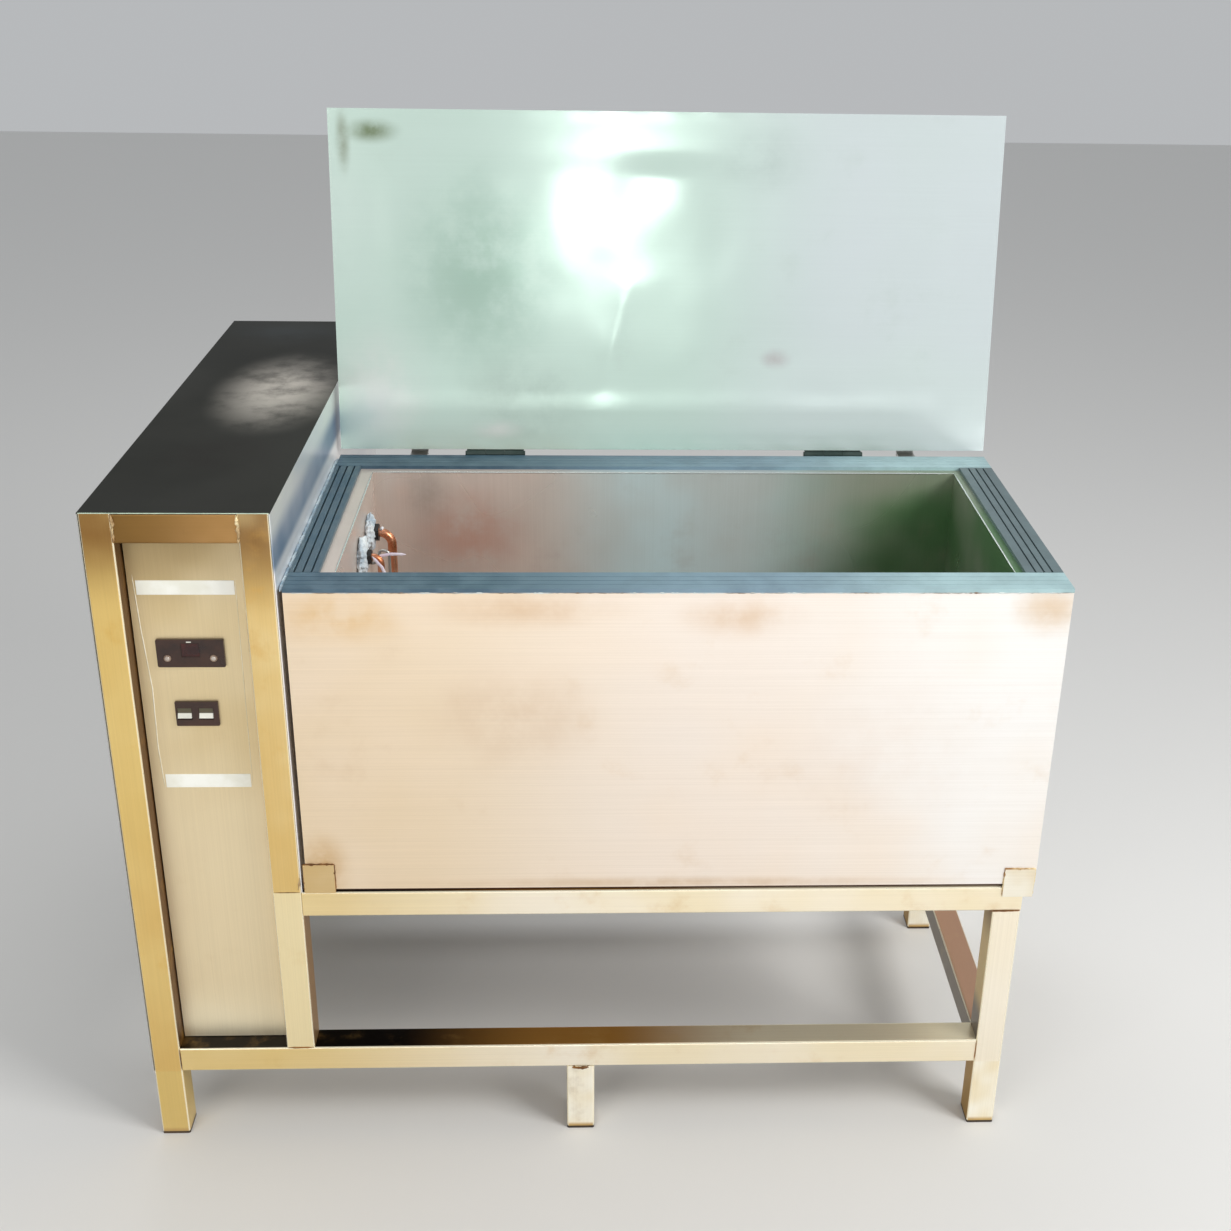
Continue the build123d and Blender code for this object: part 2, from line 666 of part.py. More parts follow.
def fan():
    """Motor on a three-arm bracket that is screwed to the shroud, and the blades it turns."""
    motor_front = shroud_front - 62
    motor_length = 44.0
    motor_radius = 31.0
    shaft_radius = 3.0
    shaft_length = 74.0
    arm_reach = 84.0
    arm_start = 24.0
    arm_width = 10.0
    arm_thickness = 2.5
    rod_radius = 4.0
    arm_y = motor_front + 6
    hub_front = shroud_front - 10
    with BuildPart() as motor:
        cylinder_along(BACK, (unit_x, motor_front, fan_centre_z), motor_radius, motor_length)
        cylinder_along(BACK, (unit_x, motor_front, fan_centre_z), shaft_radius, shaft_length)
        arm_plane = Plane(origin=(unit_x, arm_y, fan_centre_z), x_dir=RIGHT, z_dir=(0, -1, 0))
        arm_end = arm_reach + rod_radius
        with BuildSketch(arm_plane) as arms:
            with PolarLocations((arm_start + arm_end) / 2, 3, start_angle=90):
                Rectangle(arm_end - arm_start, arm_width)
        extrude(arms.sketch, amount=-arm_thickness)
        with BuildSketch(arm_plane) as rods:
            with PolarLocations(arm_reach, 3, start_angle=90):
                Circle(rod_radius)
        extrude(rods.sketch, amount=arm_y - shroud_front)
    save(motor, "fan_motor")

    blade_count = 5
    hub_length = 20.0
    blade_pitch = math.radians(28)
    hub_radius = 15.0
    blade_root = 12.0
    blade_reach = 62.0
    blade_chord = 46.0
    blade_thickness = 1.8
    middle_y = hub_front + hub_length / 2
    with BuildPart() as blades:
        cylinder_along(BACK, (unit_x, hub_front, fan_centre_z), hub_radius, hub_length)
        for number in range(blade_count):
            turn = math.radians(number * 360 / blade_count)
            outwards = Vector(math.cos(turn), 0, math.sin(turn))
            chord = Vector(-math.sin(turn), math.tan(blade_pitch), math.cos(turn))
            root = Vector(unit_x, middle_y, fan_centre_z) + outwards * blade_root
            with BuildSketch(Plane(origin=root, x_dir=chord, z_dir=outwards)):
                SlotOverall(blade_chord, blade_thickness)
            extrude(amount=blade_reach)
        cylinder_along(BACK, (unit_x, hub_front - 1, fan_centre_z), shaft_radius + pipe_slack,
                       hub_length + 2, mode=Mode.SUBTRACT)
    save(blades, "fan_blades")


def control_box():
    """Contactor and terminal housing on the shelf behind the front panel."""
    half_width = 55.0
    box_front = front + 120
    box_depth = 70.0
    box_height = 150.0
    low = (unit_x - half_width, box_front, unit_floor)
    high = (unit_x + half_width, box_front + box_depth, unit_floor + box_height)
    with BuildPart() as box:
        box_between(low, high)
        fillet(box.edges().filter_by(Axis.Z), 4)
        chamfer(box.faces().sort_by(Axis.Z)[-1].edges(), 2)
    save(box, "control_box")


# ---------------------------------------------------------------- cabinet casing
panel_recess = 25.0
panel_face = front + panel_recess
controller_low = (left + 66.5, 721.6)
controller_high = (left + 149.2, 759.4)
switch_low = (left + 81.0, 638.7)
switch_high = (left + 134.4, 673.0)
cable_gland_place = (unit_x, 430.0)


def cabinet_casing():
    inner_left = left + sheet
    inner_right = cabinet_right - sheet
    with BuildPart() as top:
        box_between((left, front, cover_bottom), (cabinet_right, cabinet_back, cabinet_height))
        fillet(top.faces().sort_by(Axis.Z)[-1].edges(), 1.1)
    save(top, "cabinet_top")
    with BuildPart() as left_sheet:
        box_between((left, front, foot_length), (inner_left, cabinet_back - sheet, cover_bottom))
    save(left_sheet, "cabinet_left_sheet")
    with BuildPart() as right_sheet:
        box_between((inner_right, front, upper_rail_top),
                    (cabinet_right, cabinet_back - sheet, cover_bottom))
        cut_wall_holes(inner_right - 1, cabinet_right + 1)
    save(right_sheet, "cabinet_right_sheet")
    with BuildPart() as shelf:
        box_between((inner_left, front + tube, upper_rail_top),
                    (inner_right, post_back_y - half_tube, unit_floor))
    save(shelf, "unit_shelf")


def front_panel():
    """Recessed control panel between the front posts, a shallow tray with two cut-outs."""
    low = (post_left_x + half_tube + 1.6, panel_face, lower_rail_top + 1)
    high = (post_right_x - half_tube - 0.6, panel_face + 12, top_rail_z - half_tube - 0.5)
    with BuildPart() as panel:
        box_between(low, high)
        box_between((low[0] + sheet, panel_face + sheet, low[2] - 1),
                    (high[0] - sheet, panel_face + 20, high[2] + 1), mode=Mode.SUBTRACT)
        cut_outs = ((controller_low, controller_high, 2.5), (switch_low, switch_high, 0.6))
        for corner_low, corner_high, window in cut_outs:
            box_between((corner_low[0] + window, panel_face - 1, corner_low[1] + window),
                        (corner_high[0] - window, panel_face + 3, corner_high[1] - window),
                        mode=Mode.SUBTRACT)
    save(panel, "front_panel")


def back_panel():
    """Removable back sheet with air slots behind the condenser and the cable gland's hole."""
    slot_length = 66.0
    slot_height = 6.0
    with BuildPart() as panel:
        box_between((left, cabinet_back - sheet, foot_length), (cabinet_right, cabinet_back, cover_bottom))
        slot_plane = Plane(origin=(unit_x, cabinet_back + 1, unit_floor + 150), x_dir=(-1, 0, 0),
                           z_dir=BACK)
        with BuildSketch(slot_plane):
            with GridLocations(82, 18, 2, 12):
                SlotOverall(slot_length, slot_height)
        extrude(amount=-sheet - 2, mode=Mode.SUBTRACT)
        gland_x, gland_z = cable_gland_place
        cylinder_along(BACK, (gland_x, cabinet_back - 3, gland_z), 8.1, 6, mode=Mode.SUBTRACT)
    save(panel, "back_panel")


gland_bore = 5.0


def cable_gland():
    """Inlet for the supply cable: a flange each side of the back sheet and a domed nut."""
    x, z = cable_gland_place
    with BuildPart() as gland:
        with BuildSketch(Plane(origin=(x, cabinet_back, z), z_dir=BACK)):
            RegularPolygon(13, 6)
        extrude(amount=6)
        cylinder_along(BACK, (x, cabinet_back + 6, z), 11, gland_reach - 6)
        chamfer(gland.faces().sort_by(Axis.Y)[-1].edges(), 3)
        cylinder_along(BACK, (x, cabinet_back - sheet - 10, z), 8, 11 + sheet)
        with BuildSketch(Plane(origin=(x, cabinet_back - sheet - 6, z), z_dir=BACK)):
            RegularPolygon(12, 6)
        extrude(amount=5.8)
        cylinder_along(BACK, (x, cabinet_back - 30, z), gland_bore, gland_reach + 40, mode=Mode.SUBTRACT)
    save(gland, "cable_gland")


# ---------------------------------------------------------------- controls
bezel_proud = 3.5
button_radius = 4.6
button_gap = 0.3
button_travel = 1.0
button_z = controller_low[1] + 12.5
button_xs = {"button_left": left + 79.2, "button_right": left + 135.6}


def controller():
    window = 2.9
    depth = 58.0
    bezel_front = panel_face - bezel_proud
    with BuildPart() as body:
        box_between((controller_low[0], bezel_front, controller_low[1]),
                    (controller_high[0], panel_face, controller_high[1]))
        fillet(body.edges().filter_by(Axis.Y), 2)
        box_between((controller_low[0] + window, panel_face - 1, controller_low[1] + window),
                    (controller_high[0] - window, panel_face + depth, controller_high[1] - window))
        box_between((controller_low[0] + 30, bezel_front - 1, controller_low[1] + 14),
                    (controller_high[0] - 30, bezel_front + 1, controller_high[1] - 5),
                    mode=Mode.SUBTRACT)
        for x in button_xs.values():
            cylinder_along(BACK, (x, bezel_front - 1, button_z), button_radius + button_gap, 8,
                           mode=Mode.SUBTRACT)
    save(body, "controller")
    for name, x in button_xs.items():
        with BuildPart() as button:
            cylinder_along(BACK, (x, bezel_front - 1.2, button_z), button_radius, 6.4)
            fillet(button.faces().sort_by(Axis.Y)[0].edges(), 0.8)
        save(button, name)


rocker_width = 17.0
rocker_pivot_y = panel_face + 3.4
rocker_z = 655.9
rocker_xs = {"rocker_left": left + 92.2, "rocker_right": left + 118.8}
rocker_tilt = 10.0
opening_half = 8.1
pivot_pin = 1.2


def switches():
    """Twin rocker frame, and the two rockers tilted to their lower stop."""
    bezel_front = panel_face - 3.0
    body_inset = 1.0
    depth = 24.0
    side_gap = 0.4
    with BuildPart() as housing:
        box_between((switch_low[0], bezel_front, switch_low[1]),
                    (switch_high[0], panel_face, switch_high[1]))
        fillet(housing.edges().filter_by(Axis.Y), 1.5)
        box_between((switch_low[0] + body_inset, panel_face - 1, switch_low[1] + body_inset),
                    (switch_high[0] - body_inset, panel_face + depth, switch_high[1] - body_inset))
        for x in rocker_xs.values():
            half = rocker_width / 2 + side_gap
            box_between((x - half, bezel_front - 1, rocker_z - opening_half),
                        (x + half, rocker_pivot_y + 8.4, rocker_z + opening_half), mode=Mode.SUBTRACT)
            cylinder_along(RIGHT, (x - half - 0.9, rocker_pivot_y, rocker_z), pivot_pin + 0.05,
                           2 * half + 1.8, mode=Mode.SUBTRACT)
    save(housing, "switch_frame")

    lean = math.radians(rocker_tilt)
    outline = [(-6.6, 7.6), (0, 5.8), (6.6, 7.6), (7.2, 0), (5, -5), (-5, -5), (-7.2, 0)]
    for name, x in rocker_xs.items():
        start = (x - rocker_width / 2, rocker_pivot_y, rocker_z)
        side = Plane(origin=start, x_dir=(0, math.sin(lean), math.cos(lean)), z_dir=RIGHT)
        with BuildPart() as rocker:
            with BuildSketch(side):
                with BuildLine():
                    Polyline(*outline, close=True)
                make_face()
            extrude(amount=rocker_width)
            cylinder_along(RIGHT, (start[0] - 1.2, rocker_pivot_y, rocker_z), pivot_pin,
                           rocker_width + 2.4)
        save(rocker, name)


# ---------------------------------------------------------------- lid and hinges
lean = math.radians(lid_lean)
lid_plane = Plane(origin=(0, hinge_y, hinge_z), x_dir=RIGHT, z_dir=(0, -math.cos(lean), math.sin(lean)))
leaf_width = 28.0
leaf_thickness = 2.0
knuckle_radius = 5.0
pin_radius = 2.45
pin_bore = 2.5
knuckle_gap = 0.4
hinge_xs = (tank_left + hinge_inset, right - hinge_inset)


def lid_box(low, high, mode=Mode.ADD):
    """Box in the lid's own directions: along X, up the lid, and out of its inner face."""
    size = [top - bottom for bottom, top in zip(low, high)]
    with BuildSketch(lid_plane.offset(low[2])) as outline:
        with Locations((low[0] + size[0] / 2, low[1] + size[1] / 2)):
            Rectangle(size[0], size[1])
    extrude(outline.sketch, amount=size[2], mode=mode)


def lid():
    edge = (tank_left, hinge_offset)
    far = (right, lid_reach)
    with BuildPart() as outer_skin:
        lid_box((*edge, -lid_thickness), (*far, -lid_skin))
        lid_box((edge[0] + lid_skin, edge[1] + lid_skin, lid_skin - lid_thickness),
                (far[0] - lid_skin, far[1] - lid_skin, -lid_skin), mode=Mode.SUBTRACT)
    save(outer_skin, "lid_outer_skin")
    with BuildPart() as inner_skin:
        lid_box((*edge, -lid_skin), (*far, 0))
    save(inner_skin, "lid_inner_skin")
    with BuildPart() as core:
        lid_box((edge[0] + lid_skin, edge[1] + lid_skin, lid_skin - lid_thickness),
                (far[0] - lid_skin, far[1] - lid_skin, -lid_skin))
    save(core, "lid_core")


def lid_handle():
    """Round-bar pull on the lid's outer face, near its free edge."""
    half_grip = 60.0
    height = lid_reach - 60
    stand_off = 34.0
    middle = (tank_left + right) / 2
    corners = [(middle - half_grip, height, -lid_thickness),
               (middle - half_grip, height, -lid_thickness - stand_off),
               (middle + half_grip, height, -lid_thickness - stand_off),
               (middle + half_grip, height, -lid_thickness)]
    points = [lid_plane.from_local_coords(Vector(*corner)) for corner in corners]
    with BuildPart() as handle:
        pipe_along(route(points, 14), 10, 0)
        for corner in (corners[0], corners[-1]):
            with BuildSketch(lid_plane.offset(-lid_thickness)) as foot:
                with Locations(corner[:2]):
                    Circle(12)
            extrude(foot.sketch, amount=-3)
    save(handle, "lid_handle")


def knuckle_spans(x):
    """X ranges of one hinge's outer knuckles and of its middle knuckle."""
    half = hinge_length / 2
    inner = hinge_length / 6
    outer = [(x - half, x - inner - knuckle_gap / 2), (x + inner + knuckle_gap / 2, x + half)]
    middle = [(x - inner + knuckle_gap / 2, x + inner - knuckle_gap / 2)]
    return outer, middle


def hinge_leaf(plane, x, own, direction):
    """One leaf: a plate beside the axis, its knuckles, and necks that join them.

    plane is square to the hinge axis with its local X away from the chest or lid face."""
    half = hinge_length / 2
    relief = knuckle_radius * 0.76
    plate = (-hinge_offset, -hinge_offset + leaf_thickness)
    with BuildSketch(plane.offset(x - half)) as leaf:
        with Locations((sum(plate) / 2, direction * (relief + leaf_width) / 2)):
            Rectangle(leaf_thickness, leaf_width - relief)
    extrude(leaf.sketch, amount=hinge_length)
    for low, high in own:
        with BuildSketch(plane.offset(low)) as knuckle:
            Circle(knuckle_radius)
            with Locations((sum(plate) / 2, direction * relief / 2)):
                Rectangle(leaf_thickness, relief + 0.1)
            Circle(pin_bore, mode=Mode.SUBTRACT)
        extrude(knuckle.sketch, amount=high - low)


def hinges():
    fixed_plane = Plane(origin=(0, hinge_y, hinge_z), x_dir=BACK, z_dir=RIGHT)
    moving_plane = Plane(origin=(0, hinge_y, hinge_z), x_dir=(0, -math.sin(lean), -math.cos(lean)),
                         z_dir=RIGHT)
    with BuildPart() as fixed:
        for x in hinge_xs:
            hinge_leaf(fixed_plane, x, knuckle_spans(x)[0], -1)
    save(fixed, "hinge_fixed_leaves")
    with BuildPart() as moving:
        for x in hinge_xs:
            hinge_leaf(moving_plane, x, knuckle_spans(x)[1], 1)
    save(moving, "lid_hinge_leaves")
    head = 2.0
    with BuildPart() as pins:
        for x in hinge_xs:
            start = x - hinge_length / 2
            cylinder_along(RIGHT, (start, hinge_y, hinge_z), pin_radius, hinge_length)
            cylinder_along(RIGHT, (start - head, hinge_y, hinge_z), 4, head)
            cylinder_along(RIGHT, (start + hinge_length, hinge_y, hinge_z), 4, head)
    save(pins, "hinge_pins")


def lid_stops():
    """Bent flat bars on the chest's back that the open lid leans against."""
    bar_width = 25.0
    bar = 3.0
    arm_top = 832.0
    with BuildPart() as stops:
        for x in (tank_left + 100, right - 100 - bar_width):
            box_between((x, tank_back, arm_top - 45), (x + bar_width, tank_back + bar, arm_top))
            box_between((x, tank_back, arm_top - bar), (x + bar_width, hinge_y + 32, arm_top))
            lid_box((x, -8, -lid_thickness - 0.5 - bar), (x + bar_width, 48, -lid_thickness - 0.5))
    save(stops, "lid_stops")


frame()
feet()
corner_tabs()
tank_shell()
tank_bottom_pan()
tank_insulation()
tank_liner()
rim_strips()
drain_fitting()
drain_valve()
evaporator_coil()
suction_line()
refrigerant_lines()
filter_drier()
wall_fittings()
temperature_probe()
compressor()
condenser()
fan()
control_box()
cabinet_casing()
front_panel()
back_panel()
cable_gland()
controller()
switches()
lid()
lid_handle()
hinges()
lid_stops()
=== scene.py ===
"""Looks of the bulk milk tank: materials, lights and camera, and the details that ride on the CAD bodies.

Everything is in metres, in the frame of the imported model: +X right, +Y back, +Z up, floor at 0."""
import json
import math

import bmesh
import bpy
from mathutils import Matrix, Vector, noise


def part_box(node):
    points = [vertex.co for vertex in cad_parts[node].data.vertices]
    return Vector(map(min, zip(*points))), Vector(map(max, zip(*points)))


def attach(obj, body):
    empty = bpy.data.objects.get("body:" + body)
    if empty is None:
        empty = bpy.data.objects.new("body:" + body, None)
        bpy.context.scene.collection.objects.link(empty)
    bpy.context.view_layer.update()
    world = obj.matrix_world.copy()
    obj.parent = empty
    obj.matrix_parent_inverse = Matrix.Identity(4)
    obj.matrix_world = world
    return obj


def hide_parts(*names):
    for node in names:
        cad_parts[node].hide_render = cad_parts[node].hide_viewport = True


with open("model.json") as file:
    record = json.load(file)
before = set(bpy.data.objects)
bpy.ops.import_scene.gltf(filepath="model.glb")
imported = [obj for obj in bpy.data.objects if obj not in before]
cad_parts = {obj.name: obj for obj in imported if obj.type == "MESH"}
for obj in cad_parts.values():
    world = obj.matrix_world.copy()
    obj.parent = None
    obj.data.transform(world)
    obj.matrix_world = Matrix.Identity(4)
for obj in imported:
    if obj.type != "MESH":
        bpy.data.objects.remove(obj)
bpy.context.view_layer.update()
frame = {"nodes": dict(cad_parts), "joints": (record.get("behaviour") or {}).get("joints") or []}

NODES = frame["nodes"]
MM = 0.001


# ---------------------------------------------------------------- reference places
cover_low, cover_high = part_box("cabinet_top")
shell_low, shell_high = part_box("tank_shell")
liner_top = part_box("tank_liner")[1].z
lid_low, lid_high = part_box("lid_inner_skin")
left, front = cover_low.x, cover_low.y
hinge = Vector(next(j for j in frame["joints"] if j["name"] == "lid_hinge")["pos_m"])
LID_LEAN = math.radians(7.8)  # past upright, with the lid open
# inner faces of the cavity, left and right, then front and back
CAVITY_X = (left + 0.2845, left + 1.129)
CAVITY_Y = (front + 0.049, front + 0.4135)


# ---------------------------------------------------------------- camera
def make_camera():
    """A standing person's view from in front, a little left of the middle."""
    yaw, pitch, roll = -0.042757, 0.403503, 0.017726
    focal, width = 1545.66, 1231
    ahead = Vector((-math.sin(yaw) * math.cos(pitch), math.cos(yaw) * math.cos(pitch), -math.sin(pitch)))
    level = Vector((math.cos(yaw), math.sin(yaw), 0))
    above = level.cross(ahead)
    right = math.cos(roll) * level + math.sin(roll) * above
    up = -math.sin(roll) * level + math.cos(roll) * above
    data = bpy.data.cameras.new("camera")
    data.sensor_width = 36.0
    data.lens = focal / width * data.sensor_width
    data.shift_x = -0.02906
    data.shift_y = -0.05352
    data.clip_end = 60
    camera = bpy.data.objects.new("camera", data)
    turn = Matrix((right, up, -ahead)).transposed()
    camera.matrix_world = Matrix.Translation((0.00452, -2.13406, 1.61147)) @ turn.to_4x4()
    bpy.context.scene.collection.objects.link(camera)
    bpy.context.scene.camera = camera


make_camera()


# ---------------------------------------------------------------- lights and floor
def area_light(name, place, target, size, power, colour=(1, 1, 1)):
    data = bpy.data.lights.new(name, "AREA")
    data.shape = "RECTANGLE"
    data.size, data.size_y = size
    data.energy = power
    data.color = colour
    light = bpy.data.objects.new(name, data)
    light.location = place
    light.rotation_euler = (Vector(target) - Vector(place)).to_track_quat("-Z", "Y").to_euler()
    bpy.context.scene.collection.objects.link(light)


def make_studio():
    """Even pale surroundings, a small window that glints in the lid, and soft lights at the left,
    right, below and above."""
    bpy.context.scene.view_settings.view_transform = "Standard"
    world = bpy.data.worlds.new("studio")
    world.use_nodes = True
    background = world.node_tree.nodes["Background"]
    background.inputs["Color"].default_value = (0.95, 0.975, 1.0, 1)
    background.inputs["Strength"].default_value = 0.5
    bpy.context.scene.world = world
    area_light("window", (0.12, -4.4, 1.62), (0.1, 0, 1.0), (0.22, 0.5), 2.6, (1.0, 1.0, 0.98))
    area_light("room", (-2.4, -3.6, 2.2), (-0.2, 0, 0.5), (2.2, 2.2), 40, (1.0, 0.95, 0.88))
    area_light("sun_side", (2.6, -1.9, 2.6), (0.1, -0.1, 0.7), (1.4, 1.4), 84, (1.0, 0.99, 0.97))
    area_light("low_fill", (0.3, -3.2, 0.3), (0.1, 0, 0.15), (2.4, 0.4), 9)
    area_light("over", (-0.2, 0.9, 3.0), (0.0, 0, 0.6), (1.6, 1.2), 14)

    floor = bpy.data.meshes.new("floor")
    half = 9.0
    floor.from_pydata([(-half, -half, 0), (half, -half, 0), (half, half, 0), (-half, half, 0)], [],
                      [(0, 1, 2, 3)])
    ground = bpy.data.objects.new("floor", floor)
    bpy.context.scene.collection.objects.link(ground)
    material = bpy.data.materials.new("floor_paint")
    material.use_nodes = True
    shader = material.node_tree.nodes["Principled BSDF"]
    shader.inputs["Base Color"].default_value = (0.74, 0.735, 0.72, 1)
    shader.inputs["Roughness"].default_value = 0.75
    floor.materials.append(material)


make_studio()


# ---------------------------------------------------------------- material kit
def srgb(red, green, blue):
    """Linear colour from 0-255 screen values."""
    return tuple((v / 255 / 12.92) if v / 255 < 0.04045 else ((v / 255 + 0.055) / 1.055) ** 2.4
                 for v in (red, green, blue))


class Graph:
    """Short names for building one material's nodes."""

    def __init__(self, name):
        self.material = bpy.data.materials.new(name)
        self.material.use_nodes = True
        self.tree = self.material.node_tree
        self.shader = self.tree.nodes["Principled BSDF"]
        self.place = self.tree.nodes.new("ShaderNodeTexCoord").outputs["Object"]
        self.axes = None

    def fill(self, socket, value):
        """Set a socket to a number or colour, or link another node's output to it."""
        if isinstance(value, (int, float)):
            socket.default_value = value
        elif isinstance(value, tuple):
            socket.default_value = (*value, 1.0) if len(socket.default_value) == 4 else value
        else:
            self.tree.links.new(value, socket)

    def scaled(self, scale, offset):
        node = self.tree.nodes.new("ShaderNodeMapping")
        node.inputs["Scale"].default_value = scale
        node.inputs["Location"].default_value = offset
        self.fill(node.inputs["Vector"], self.place)
        return node.outputs["Vector"]

    def noise(self, scale, detail=4.0, rough=0.55, stretch=(1, 1, 1), offset=(0, 0, 0)):
        node = self.tree.nodes.new("ShaderNodeTexNoise")
        node.inputs["Scale"].default_value = scale
        node.inputs["Detail"].default_value = detail
        node.inputs["Roughness"].default_value = rough
        self.fill(node.inputs["Vector"], self.scaled(stretch, offset))
        return node.outputs["Fac"]

    def ramp(self, value, low, high, to_low=0.0, to_high=1.0):
        node = self.tree.nodes.new("ShaderNodeMapRange")
        node.interpolation_type = "SMOOTHSTEP"
        for name, number in (("From Min", low), ("From Max", high), ("To Min", to_low), ("To Max", to_high)):
            node.inputs[name].default_value = number
        self.fill(node.inputs["Value"], value)
        return node.outputs["Result"]

    def axis(self, which):
        if self.axes is None:
            node = self.tree.nodes.new("ShaderNodeSeparateXYZ")
            self.fill(node.inputs["Vector"], self.place)
            self.axes = node.outputs
        return self.axes["XYZ".index(which)]

    def math(self, kind, first, second=0.0):
        node = self.tree.nodes.new("ShaderNodeMath")
        node.operation = kind
        self.fill(node.inputs[0], first)
        self.fill(node.inputs[1], second)
        return node.outputs["Value"]

    def mix(self, factor, first, second, blend="MIX"):
        node = self.tree.nodes.new("ShaderNodeMix")
        node.data_type = "RGBA"
        node.blend_type = blend
        self.fill(node.inputs["Factor"], factor)
        self.fill(next(i for i in node.inputs if i.identifier == "A_Color"), first)
        self.fill(next(i for i in node.inputs if i.identifier == "B_Color"), second)
        return next(o for o in node.outputs if o.identifier == "Result_Color")

    def near(self, centre, radius):
        """1 at a place and 0 beyond a radius along each axis: a soft-edged spot."""
        node = self.tree.nodes.new("ShaderNodeMapping")
        node.inputs["Location"].default_value = [-c / r for c, r in zip(centre, radius)]
        node.inputs["Scale"].default_value = [1 / r for r in radius]
        self.fill(node.inputs["Vector"], self.place)
        length = self.tree.nodes.new("ShaderNodeVectorMath")
        length.operation = "LENGTH"
        self.fill(length.inputs[0], node.outputs["Vector"])
        return self.ramp(length.outputs["Value"], 0.0, 1.0, 1.0, 0.0)

    def facing(self):
        """The three parts of the surface's direction, of which only fixed pieces make use."""
        node = self.tree.nodes.new("ShaderNodeSeparateXYZ")
        self.fill(node.inputs["Vector"], self.tree.nodes.new("ShaderNodeNewGeometry").outputs["Normal"])
        return node.outputs

    def corners(self):
        """1 on the rounded corners of square tube and 0 on its flats."""
        x, y, z = (self.math("ABSOLUTE", part) for part in self.facing())
        return self.ramp(self.math("MAXIMUM", self.math("MAXIMUM", x, y), z), 0.985, 0.86)

    def bump(self, height, strength, distance):
        node = self.tree.nodes.new("ShaderNodeBump")
        node.inputs["Strength"].default_value = strength
        node.inputs["Distance"].default_value = distance
        self.fill(node.inputs["Height"], height)
        return node.outputs["Normal"]

    def set(self, **values):
        for name, value in values.items():
            self.fill(self.shader.inputs[name.replace("_", " ")], value)


BRUSH_ALONG = {"X": (3, 800, 800), "Y": (800, 3, 800), "Z": (800, 800, 3)}  # noise scale of the lines


def brushed_steel(name, base, second, grain="X", blotch=2.2, metallic=0.7, roughness=0.38,
                  stain=None, stain_amount=0.0, gradient=(), spots=(), brush=0.1, corner_wear_and_highlight=None,
                  sides=(), uneven=0.05, specular=0.5):
    """Satin stainless: fine brushing along an axis, soft blotches of a second tone, and faint stains.

    gradient holds (axis, start, end, colour): the base turns into colour from start to end.
    spots holds (centre, radius, colour, amount): patches with ragged edges, stains on some pieces and
    painted reflection and painted highlight on others.
    sides holds (axis, sign, gradient steps): faces that look that way get their own tones, painted shade and
    painted reflection.
    polish is the tone of worn rounded corners, partly wear and partly a painted highlight."""
    g = Graph(name)
    colour = base
    for axis, start, end, to in gradient:
        colour = g.mix(g.ramp(g.axis(axis), start, end), colour, to)
    patches = g.ramp(g.noise(blotch, 3.0, 0.6), 0.38, 0.68)
    colour = g.mix(g.math("MULTIPLY", patches, 0.6), colour, second)
    # faces that look one way get painted shade and painted reflection tones
    for axis, sign, steps in sides:
        part = g.facing()["XYZ".index(axis)]
        tone = steps[0][3]
        for step_axis, start, end, to in steps:
            tone = g.mix(g.ramp(g.axis(step_axis), start, end), tone, to)
        colour = g.mix(g.ramp(g.math("MULTIPLY", part, sign), 0.6, 0.9), colour, tone)
    cloud = g.noise(14.0, 6.0, 0.62, offset=(3.1, 1.7, 0.4))
    if stain:
        colour = g.mix(g.ramp(cloud, 0.56, 0.8, 0.0, stain_amount), colour, stain)
    for centre, radius, tone, amount in spots:
        ragged = g.math("MULTIPLY", g.near(centre, radius), g.ramp(cloud, 0.3, 0.62, 0.25, 1.0))
        colour = g.mix(g.math("MULTIPLY", ragged, amount), colour, tone)
    lines = g.noise(1.0, 6.0, 0.7, BRUSH_ALONG[grain])
    darker = g.mix(1.0, colour, (0.72, 0.7, 0.66), "MULTIPLY")
    colour = g.mix(g.ramp(lines, 0.3, 0.7, 0.0, brush * 2), colour, darker)
    rough = g.ramp(g.noise(2.6, 2.0, 0.5, offset=(0.7, 5.2, 2.2)), 0.25, 0.75, roughness - uneven,
                   roughness + uneven)
    # rounded corners turned lighter and glossier: wear, and a painted highlight
    if corner_wear_and_highlight:
        corner_wear_highlight_mask = g.corners()
        colour = g.mix(g.math("MULTIPLY", corner_wear_highlight_mask, 0.85), colour, corner_wear_and_highlight)
        rough = g.math("SUBTRACT", rough, g.math("MULTIPLY", corner_wear_highlight_mask, 0.14))
    g.set(Base_Color=colour, Metallic=metallic, Specular_IOR_Level=specular)
    g.set(Roughness=rough, Normal=g.bump(lines, brush, 0.0004))
    return g.material


def moulded(name, colour, second=None, roughness=0.45, grain=260.0, bump=0.15, metallic=0.0, gradient=()):
    """Plastic, rubber or cast surface with a fine grain and a slightly uneven tone."""
    g = Graph(name)
    second = second or tuple(c * 0.8 for c in colour)
    for axis, start, end, to in gradient:
        share = g.ramp(g.axis(axis), start, end)
        colour = g.mix(share, colour, to)
        second = g.mix(share, second, tuple(c * 0.85 for c in to))
    g.set(Base_Color=g.mix(g.ramp(g.noise(30.0), 0.35, 0.7), colour, second), Metallic=metallic)
    g.set(Roughness=g.ramp(g.noise(12.0, offset=(2, 1, 0)), 0.3, 0.7, roughness - 0.06, roughness + 0.08))
    g.set(Normal=g.bump(g.noise(grain, 3.0), bump, 0.0002))
    return g.material


def dress(piece, material, angle=32):
    """Give an object one material, and smooth shading across its rounded corners only."""
    piece.data.materials.clear()
    piece.data.materials.append(material)
    piece.data.polygons.foreach_set("use_smooth", [True] * len(piece.data.polygons))
    piece.data.set_sharp_from_angle(angle=math.radians(angle))


